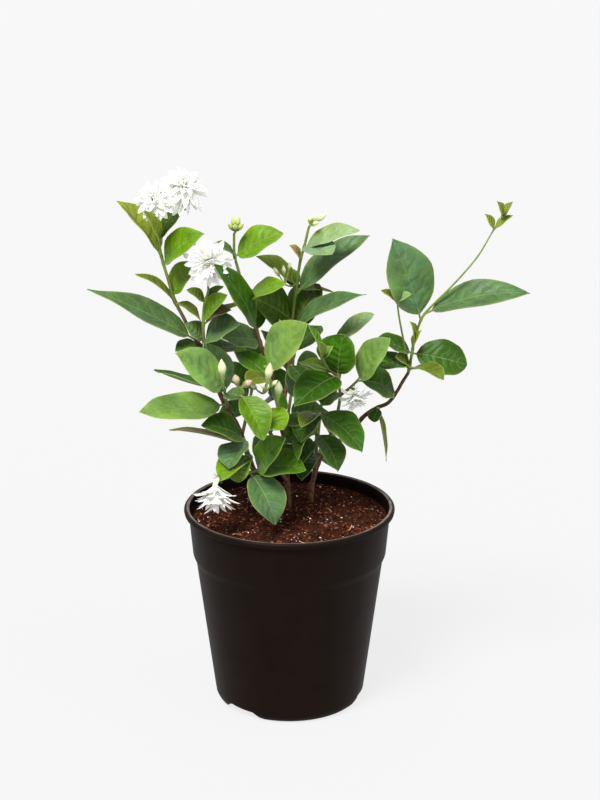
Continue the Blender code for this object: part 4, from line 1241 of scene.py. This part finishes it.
@dataclass(frozen=True)
class SepalMaker:
    """Shapes the calyx under a bloom: thin green lobes that curve outwards."""

    count: int = 8
    length: float = 7.0
    spread: float = 50.0
    radius: tuple[float, float] = (0.5, -0.4)
    tone: str = "6f8f38"

    def make(self, name: str, stem_route: list[Vector]) -> list[Obj]:
        """Shape the lobes round the end of a bloom's stem.

        Args:
            name: The bloom's name.
            stem_route: Its stem's route.

        Returns:
            The lobes.
        """
        chance = random.Random(name + "_calyx")
        end = stem_route[-1]
        axis = (end - stem_route[-2]).normalized()
        aside = axis.orthogonal().normalized()
        other = axis.cross(aside)
        pieces = []
        for index in range(self.count):
            turn = 2 * math.pi * (index + chance.uniform(-0.2, 0.2)) / self.count
            out = spoke(aside, other, turn)
            lean = math.radians(self.spread + chance.uniform(-14, 14))
            length = self.length * chance.uniform(0.8, 1.05)
            route = [
                end - axis * 1.2,
                end + axis * length * 0.30 + out * length * 0.22,
                end + axis * length * 0.62 * math.cos(lean / 2) + out * length * 0.60 * math.sin(lean),
                end + axis * length * math.cos(lean) + out * length * math.sin(lean)]
            pieces.append(shaft(f"{name}_lobe_{index}", route, *self.radius, self.tone, 4))
        return pieces


# Sub-assemblies


class Piece:
    """A fine piece that is modelled over one CAD node and stands for it."""

    def build(self, finishes: Finishes) -> Obj:
        """Model the piece.

        Args:
            finishes: The materials.

        Returns:
            The piece, at the origin.
        """
        raise NotImplementedError


@dataclass(frozen=True)
class Cane(Piece):
    """A woody cane: rough round bark that thins upwards, knobbly at its old leaf scars."""

    name: str
    knob_spacing: float = 17.0
    knob: float = 0.16
    roughness: float = 0.10
    tone: Point = (0.1, 0.05, 0.03)

    def build(self, finishes: Finishes) -> Obj:
        """Model the cane over its CAD node."""
        stem = STEMS[self.name]
        route = smooth_route(stem.route, 2.2)
        total = route_length(route)
        shift = Vector((random.Random(self.name).uniform(0, 50), 0.0, 0.0))

        def radius_at(share: float, turn: float) -> float:
            """The radius, with knobs and a rough skin."""
            knob = max(0.0, math.cos(2 * math.pi * share * total / self.knob_spacing)) ** 12
            rough = noise.noise(shift + Vector((share * total / 3, math.cos(turn), math.sin(turn))))
            return stem.radius(share) * (1 + self.knob * knob + self.roughness * rough)

        cane = sweep(self.name + "_bark", route, radius_at, lambda share: Vector(self.tone), 12)
        cane.data.materials.append(finishes.bark)
        smooth(cane)
        return cane


@dataclass(frozen=True)
class Shoot(Piece):
    """A leafy shoot: its stems, leaves, single buds and the calyx of each bloom on it."""

    node: str
    leaf_maker: LeafMaker
    bud_maker: BudMaker
    sepal_maker: SepalMaker
    blade_thickness: float = 0.45
    sepal_least: float = 6.0
    joint: float = 0.30
    joint_reach: float = 1.6
    woody_radius: float = 1.2
    wood_share: float = 0.8
    woody_tone: str = "6c4734"
    greens: tuple[str, str] = ("7c9440", "6a7d33")

    def stem_piece(self, name: str, route: list[Vector], chance: random.Random) -> Obj:
        """Shape one stem, brown at a woody root and green above, thicker at its leaf joints.

        Args:
            name: The stem's name.
            route: Its route.
            chance: The shoot's seeded draws.

        Returns:
            The stem.
        """
        stem = STEMS[name]
        joints = sorted({leaf.share for leaf in LEAVES.get(name, ())})
        total = route_length(route)
        woody = linear(self.woody_tone)
        light, dark = (linear(code) for code in self.greens)
        green = light.lerp(dark, chance.random())

        def radius_at(share: float, turn: float) -> float:
            """The radius, with a joint at each leaf."""
            swells = (math.exp(-((share - at) * total / self.joint_reach) ** 2) for at in joints)
            return stem.radius(share) * (1 + self.joint * max(swells, default=0.0))

        def tone_at(share: float) -> Vector:
            """Wood to green, or all green on a thin stem."""
            thin = stem.radii[0] < self.woody_radius
            return green if thin else woody.lerp(green, ease(0.0, self.wood_share, share))

        return sweep(name + "_stem", route, radius_at, tone_at, 8, chance.random())

    def build(self, finishes: Finishes) -> Obj:
        """Model the shoot over its CAD node."""
        chance = random.Random(self.node)
        blades, solids, buds = [], [], []
        for name in [key for key, stem in STEMS.items() if stem.node == self.node]:
            route = smooth_route(STEMS[name].route, 2.5)
            solids.append(self.stem_piece(name, route, chance))
            for index, leaf in enumerate(LEAVES.get(name, ())):
                blade, rib = self.leaf_maker.make(f"{name}_leaf_{index}", leaf, route, chance)
                blades.append(blade)
                solids.append(rib)
            for index, bud in enumerate(BUDS.get(name, ())):
                body, *rest = self.bud_maker.make(f"{name}_bud_{index}", bud, route[-1], chance)
                buds.append(body)
                solids.extend(rest)
            for bloom_name, bloom in BLOOMS.items():
                far = (Vector(bloom.centre) - route[-1]).length
                if bloom.peduncle == name and far > self.sepal_least:
                    solids.extend(self.sepal_maker.make(bloom_name, route))
        groups = []
        if blades:
            groups.append(joined(self.node + "_leaves", blades, finishes.leaf_top, finishes.leaf_under))
            thicken(groups[0], self.blade_thickness)
        if buds:
            groups.append(joined(self.node + "_heads", buds, finishes.bud))
        groups.append(joined(self.node + "_stems", solids, finishes.green))
        shoot = joined(self.node + "_fine", groups)
        smooth(shoot, 60.0)
        return shoot


@dataclass(frozen=True)
class BloomPiece(Piece):
    """One open bloom."""

    name: str
    maker: BloomMaker
    petal_thickness: float = 0.3

    def build(self, finishes: Finishes) -> Obj:
        """Model the bloom over its CAD node."""
        bloom = BLOOMS[self.name]
        *petals, tube = self.maker.make(self.name, bloom, Vector(STEMS[bloom.peduncle].route[-1]))
        whorls = joined(self.name + "_petals", petals, finishes.petal)
        thicken(whorls, self.petal_thickness)
        tube.data.materials.append(finishes.petal)
        piece = joined(self.name + "_fine", [whorls, tube])
        smooth(piece, 60.0)
        return piece


@dataclass(frozen=True)
class Pot(Piece):
    """The nursery pot: rolled lip, collar, step, tapered body and three drainage bites."""

    height: float = 152.0
    lip_radius: float = 78.0
    lip_inner: float = 73.6
    lip_depth: float = 4.6
    collar_top: float = 74.6
    collar_foot: float = 71.6
    step_height: float = 116.0
    step_drop: float = 5.0
    body_top: float = 69.3
    body_foot: float = 56.0
    corner: float = 9.0
    foot: float = 49.0
    wall: float = 1.6
    floor: float = 2.0
    bites: tuple[int, int, int] = (108, 228, 348)
    bite_height: float = 7.8
    bite_foot: float = 38.0
    bite_top: float = 21.0
    bite_reach: float = 18.0
    steps: int = 144

    def skin(self, inset: float, floor: float) -> Pairs:
        """(radius, height) pairs up the wall, moved in by the inset."""
        curve = self.body_foot - self.foot
        pairs = []
        for angle in (90, 68, 46, 22, 0):
            turn = math.radians(angle)
            rise = floor + (self.corner - floor) * (1 - math.sin(turn))
            pairs.append((self.foot + curve * math.cos(turn) - inset, rise))
        rise = inset / 2
        pairs += [
            (self.body_top - inset, self.step_height - self.step_drop - 0.8 + rise),
            (self.body_top - inset + 0.2, self.step_height - self.step_drop + rise),
            (self.collar_foot - inset - 0.2, self.step_height - 0.5 + rise),
            (self.collar_foot - inset + 0.1, self.step_height + 0.5 + rise),
            (self.collar_top - inset, self.height - self.lip_depth)]
        return pairs

    def lip(self) -> Pairs:
        """(radius, height) pairs over the rolled lip, from its inner edge to its outer foot."""
        foot = self.height - self.lip_depth
        inner = [(-0.2, -2.2), (0.5, -0.5), (1.6, 0.0)]
        outer = [(-1.8, 0.0), (-0.7, -0.5), (-0.1, -1.4), (0.0, -2.2)]
        under = [(-0.3, 0.8), (-0.9, 0.2), (-1.8, 0.0)]
        return [
            (radius + out, height + rise)
            for radius, height, curve in (
                (self.lip_inner, self.height, inner),
                (self.lip_radius, self.height, outer),
                (self.lip_radius, foot, under))
            for out, rise in curve]

    def build(self, finishes: Finishes) -> Obj:
        """Model the pot over its CAD node."""
        outside = self.skin(0.0, 0.0)[::-1]
        pot = turned_wall("pot_moulded", self.skin(self.wall, self.floor) + self.lip() + outside, self.steps)
        cutters = [self.bite(heading) for heading in self.bites]
        for cutter in cutters:
            difference = pot.modifiers.new(cutter.name, "BOOLEAN")
            difference.operation = "DIFFERENCE"
            difference.object = cutter
            difference.solver = "EXACT"
        finish_modifiers(pot)
        for cutter in cutters:
            bpy.data.objects.remove(cutter, do_unlink=True)
        pot.data.materials.append(finishes.plastic)
        smooth(pot, 32.0)
        return pot

    def bite(self, heading: int) -> Obj:
        """A wedge with sloping ends that cuts one drainage bite."""
        deselect()
        bpy.ops.mesh.primitive_cube_add(size=1.0)
        wedge = bpy.context.active_object
        wedge.name = f"bite_{heading}"
        for vert in wedge.data.vertices:
            top = vert.co.z > 0
            width = self.bite_top if top else 2 * self.bite_foot - self.bite_top
            vert.co.x *= self.bite_reach * MM
            vert.co.y *= width * MM
            vert.co.z = (self.bite_height if top else -self.bite_height) * MM
        turn = math.radians(heading)
        middle = self.foot + self.bite_reach / 4
        wedge.location = (middle * MM * math.cos(turn), middle * MM * math.sin(turn), 0.0)
        wedge.rotation_euler = (0.0, 0.0, turn)
        return wedge


@dataclass(frozen=True)
class LooseBits:
    """Bits scattered on the soil: their count, radii in millimetres, colours and how deep they sit."""

    name: str
    count: int
    sizes: tuple[float, float]
    tones: tuple[str, ...]
    sink: float


@dataclass(frozen=True)
class Soil(Piece):
    """The potting mix: a crumbly mound with loose crumbs, perlite grains and a few straw fibres on it."""

    pot: Pot
    clearance: float = 0.3
    edge_height: float = 143.4
    middle_height: float = 145.6
    rings: int = 46
    steps: int = 150
    crumbs: LooseBits = LooseBits(
        "crumbs", 4200, (0.32, 1.35), ("542814", "2c140a", "86482c", "b07050", "1c0d08", "140906"), 0.2)
    grains: LooseBits = LooseBits(
        "perlite", 260, (0.28, 0.75), ("e8dcd2", "d0ac9c", "f4eee8", "c89a88"), 0.1)
    lump_height: float = 0.9
    crumb_height: float = 0.75
    ground_tone: str = "3c1e14"
    straw_tone: str = "c9ab7c"
    straw_radius: tuple[float, float] = (0.34, -0.16)
    straws: tuple[tuple[float, float, float, float], ...] = (
        (14, -60, 4, 15), (10, -58, 128, 11), (22, -59, -14, 11), (-2, -61, 165, 7), (46, -28, 60, 8),
        (-38, -40, 20, 7), (30, 6, 110, 6))

    @property
    def wall(self) -> Pairs:
        """(radius, height) pairs up the pot's inside, a clearance away from it."""
        inset = self.pot.wall + self.clearance
        return self.pot.skin(inset, self.pot.floor + self.clearance)

    @property
    def edge_radius(self) -> float:
        """How far out the top of the mix reaches."""
        (low_radius, low), (high_radius, high) = self.wall[-2:]
        return low_radius + (high_radius - low_radius) * (self.edge_height - low) / (high - low)

    def top(self, x: float, y: float, reach: float) -> float:
        """The height of the crumbly top at a place, for a top that reaches this far out."""
        share = min(math.hypot(x, y) / reach, 1.0)
        mound = self.edge_height + (self.middle_height - self.edge_height) * (1 - share**2)
        broad = math.sin(x / 7.3 + 1.0) * math.cos(y / 8.1)
        fine = math.sin(x / 3.7 + y / 5.9) * math.cos(y / 3.1 - x / 11.0)
        rough = noise.fractal(Vector((x / 2.6, y / 2.6, 3.0)), 0.7, 2.1, 4)
        lumps = self.lump_height * (0.6 * broad + 0.5 * fine) * min(1.0, 4 * (1 - share))
        return mound + lumps + self.crumb_height * rough * min(1.0, 20 * (1 - share) + 0.3)

    def ground(self) -> Obj:
        """The body of the mix, turned to the pot's inside, with its top raised into crumbs."""
        reach = self.edge_radius
        top = [(reach * (1 - ring / self.rings), self.edge_height) for ring in range(self.rings)]
        obj = turned_wall("soil_ground", self.wall[:-1] + top, self.steps)
        for vert in obj.data.vertices:
            x, y, z = (value / MM for value in vert.co)
            if z > self.edge_height - 0.1:
                vert.co.z = self.top(x, y, reach) * MM
        paint(obj, [linear(self.ground_tone)] * len(obj.data.vertices))
        return obj

    def scatter(self, bits: LooseBits) -> Obj:
        """Scatter loose bits on the top.

        Args:
            bits: What they are.

        Returns:
            The bits, in one object.
        """
        deselect()
        bpy.ops.mesh.primitive_ico_sphere_add(subdivisions=1, radius=1.0)
        pattern = bpy.context.active_object
        shapes = [vert.co.copy() for vert in pattern.data.vertices]
        faces = [tuple(face.vertices) for face in pattern.data.polygons]
        bpy.data.objects.remove(pattern, do_unlink=True)
        chance = random.Random(bits.name)
        reach = self.edge_radius
        small, large = bits.sizes
        verts, polys, colours = [], [], []
        for _ in range(bits.count):
            far = (reach - 1.6) * math.sqrt(chance.random())
            turn = chance.uniform(0, 2 * math.pi)
            size = small + (large - small) * chance.random() ** 2.2
            stretch = Vector((chance.uniform(0.7, 1.5), chance.uniform(0.6, 1.2), chance.uniform(0.45, 0.9)))
            spin = chance.uniform(0, math.pi)
            x, y = far * math.cos(turn), far * math.sin(turn)
            centre = Vector((x, y, self.top(x, y, reach) + size * (0.5 - bits.sink)))
            tone = linear(chance.choice(bits.tones)) * chance.uniform(0.7, 1.2)
            start = len(verts)
            for shape in shapes:
                turned = shape * stretch
                turned.rotate(Euler((0.0, 0.0, spin)))
                verts.append((centre + turned * (size * chance.uniform(0.75, 1.2))) * MM)
            colours += [tone] * len(shapes)
            polys += [tuple(start + index for index in face) for face in faces]
        obj = mesh_object(bits.name, verts, polys)
        paint(obj, colours)
        return obj

    def fibres(self) -> list[Obj]:
        """Thin pale straws lying near the front of the lip."""
        chance = random.Random("straw")
        reach = self.edge_radius
        pieces = []
        for index, (x, y, heading, length) in enumerate(self.straws):
            turn = math.radians(heading)
            route = []
            for step in range(5):
                far = length * (step / 4 - 0.5)
                px = x + far * math.cos(turn) + chance.uniform(-0.4, 0.4)
                py = y + far * math.sin(turn) + chance.uniform(-0.4, 0.4)
                route.append(Vector((px, py, self.top(px, py, reach) + 0.9 + 0.5 * math.sin(step))))
            pieces.append(shaft(f"straw_{index}", route, *self.straw_radius, self.straw_tone, 5))
        return pieces

    def build(self, finishes: Finishes) -> Obj:
        """Model the mix over its CAD node, with its loose bits."""
        return joined("soil_mix", [
            joined("soil_ground", [self.ground()], finishes.mix),
            joined("crumbs", [self.scatter(self.crumbs)], finishes.mix),
            joined("perlite", [self.scatter(self.grains)], finishes.perlite),
            joined("straws", self.fibres(), finishes.perlite)])


# Studio


@dataclass(frozen=True)
class Studio:
    """The pale floor, the soft light and the camera."""

    floor_reach: float = 40.0
    lens: float = 104.9
    distance: float = 1.700
    pitch: float = 18.4535
    target: Point = (0.007845, 0.0, 0.23412)
    world: float = 0.55
    suns: tuple[tuple[str, float, float, float, float], ...] = (
        ("key", 4.4, 24.0, -28.0, 56.0),
        ("fill", 0.9, 60.0, 60.0, 22.0),
    )

    def build(self, finishes: Finishes) -> None:
        """Set up the floor, the light and the camera.

        Args:
            finishes: The materials.
        """
        deselect()
        bpy.ops.mesh.primitive_plane_add(size=2 * self.floor_reach)
        floor = bpy.context.active_object
        floor.name = "studio_floor"
        floor.data.materials.append(finishes.paper)
        world = bpy.data.worlds.new("soft_daylight")
        world.use_nodes = True
        background = world.node_tree.nodes["Background"]
        background.inputs["Color"].default_value = (1.0, 1.0, 1.0, 1.0)
        background.inputs["Strength"].default_value = self.world
        bpy.context.scene.world = world
        bpy.context.scene.view_settings.view_transform = "Standard"
        for sun in self.suns:
            self.lamp(*sun)
        camera = bpy.data.cameras.new("camera")
        camera.lens = self.lens
        camera.sensor_width = 36.0
        camera.sensor_fit = "AUTO"
        holder = add_object("camera", camera)
        lean = math.radians(self.pitch)
        back = Vector((0.0, -math.cos(lean), math.sin(lean))) * self.distance
        holder.location = Vector(self.target) + back
        holder.rotation_euler = (math.pi / 2 - lean, 0.0, 0.0)
        bpy.context.scene.camera = holder

    def lamp(self, name: str, power: float, spread: float, side: float, height: float) -> None:
        """Add a soft far lamp.

        Args:
            name: Its name.
            power: Its strength.
            spread: The angle of its disc, in degrees.
            side: How far right of the front it stands, in degrees.
            height: How high it stands, in degrees.
        """
        light = bpy.data.lights.new(name, "SUN")
        light.energy = power
        light.angle = math.radians(spread)
        add_object(name, light).rotation_euler = (math.radians(90 - height), 0.0, math.radians(side))


# The whole plant


SLOTS = {"cane": "bark", "shoot": "foliage", "twig": "foliage", "bloom": "petals", "buds": "buds"}


def install(piece: Obj, node: str, slot: str) -> None:
    """Let a fine piece stand for its CAD node.

    Args:
        piece: The fine piece.
        node: The CAD node.
        slot: Not used.
    """
    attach(piece, "root")
    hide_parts(node)
    LOG.info("%s stands for %s with %d faces", piece.name, node, len(piece.data.polygons))


def main() -> None:
    """Build every piece in order."""
    logging.basicConfig(level=logging.INFO, format="%(message)s")
    finishes = Finishes()
    Studio().build(finishes)
    pot = Pot()
    install(pot.build(finishes), "pot", "dark_plastic")
    install(Soil(pot).build(finishes), "soil", "peat")
    wide = BladePattern("wide_blade", 8, 16)
    narrow = BladePattern("narrow_blade", 6, 10)
    petal = BladePattern("petal_blade", 4, 8)
    makers = (LeafMaker(wide, narrow), BudMaker(), SepalMaker())
    for node in dict.fromkeys(stem.node for stem in STEMS.values()):
        slot = SLOTS[node.split("_")[0]]
        maker = Cane(node) if slot == "bark" else Shoot(node, *makers)
        install(maker.build(finishes), node, slot)
    bloom_maker = BloomMaker(petal)
    for name in BLOOMS:
        install(BloomPiece(name, bloom_maker).build(finishes), name, SLOTS["bloom"])
    for pattern in (wide, narrow, petal):
        pattern.drop()


if __name__ == "__main__":
    main()
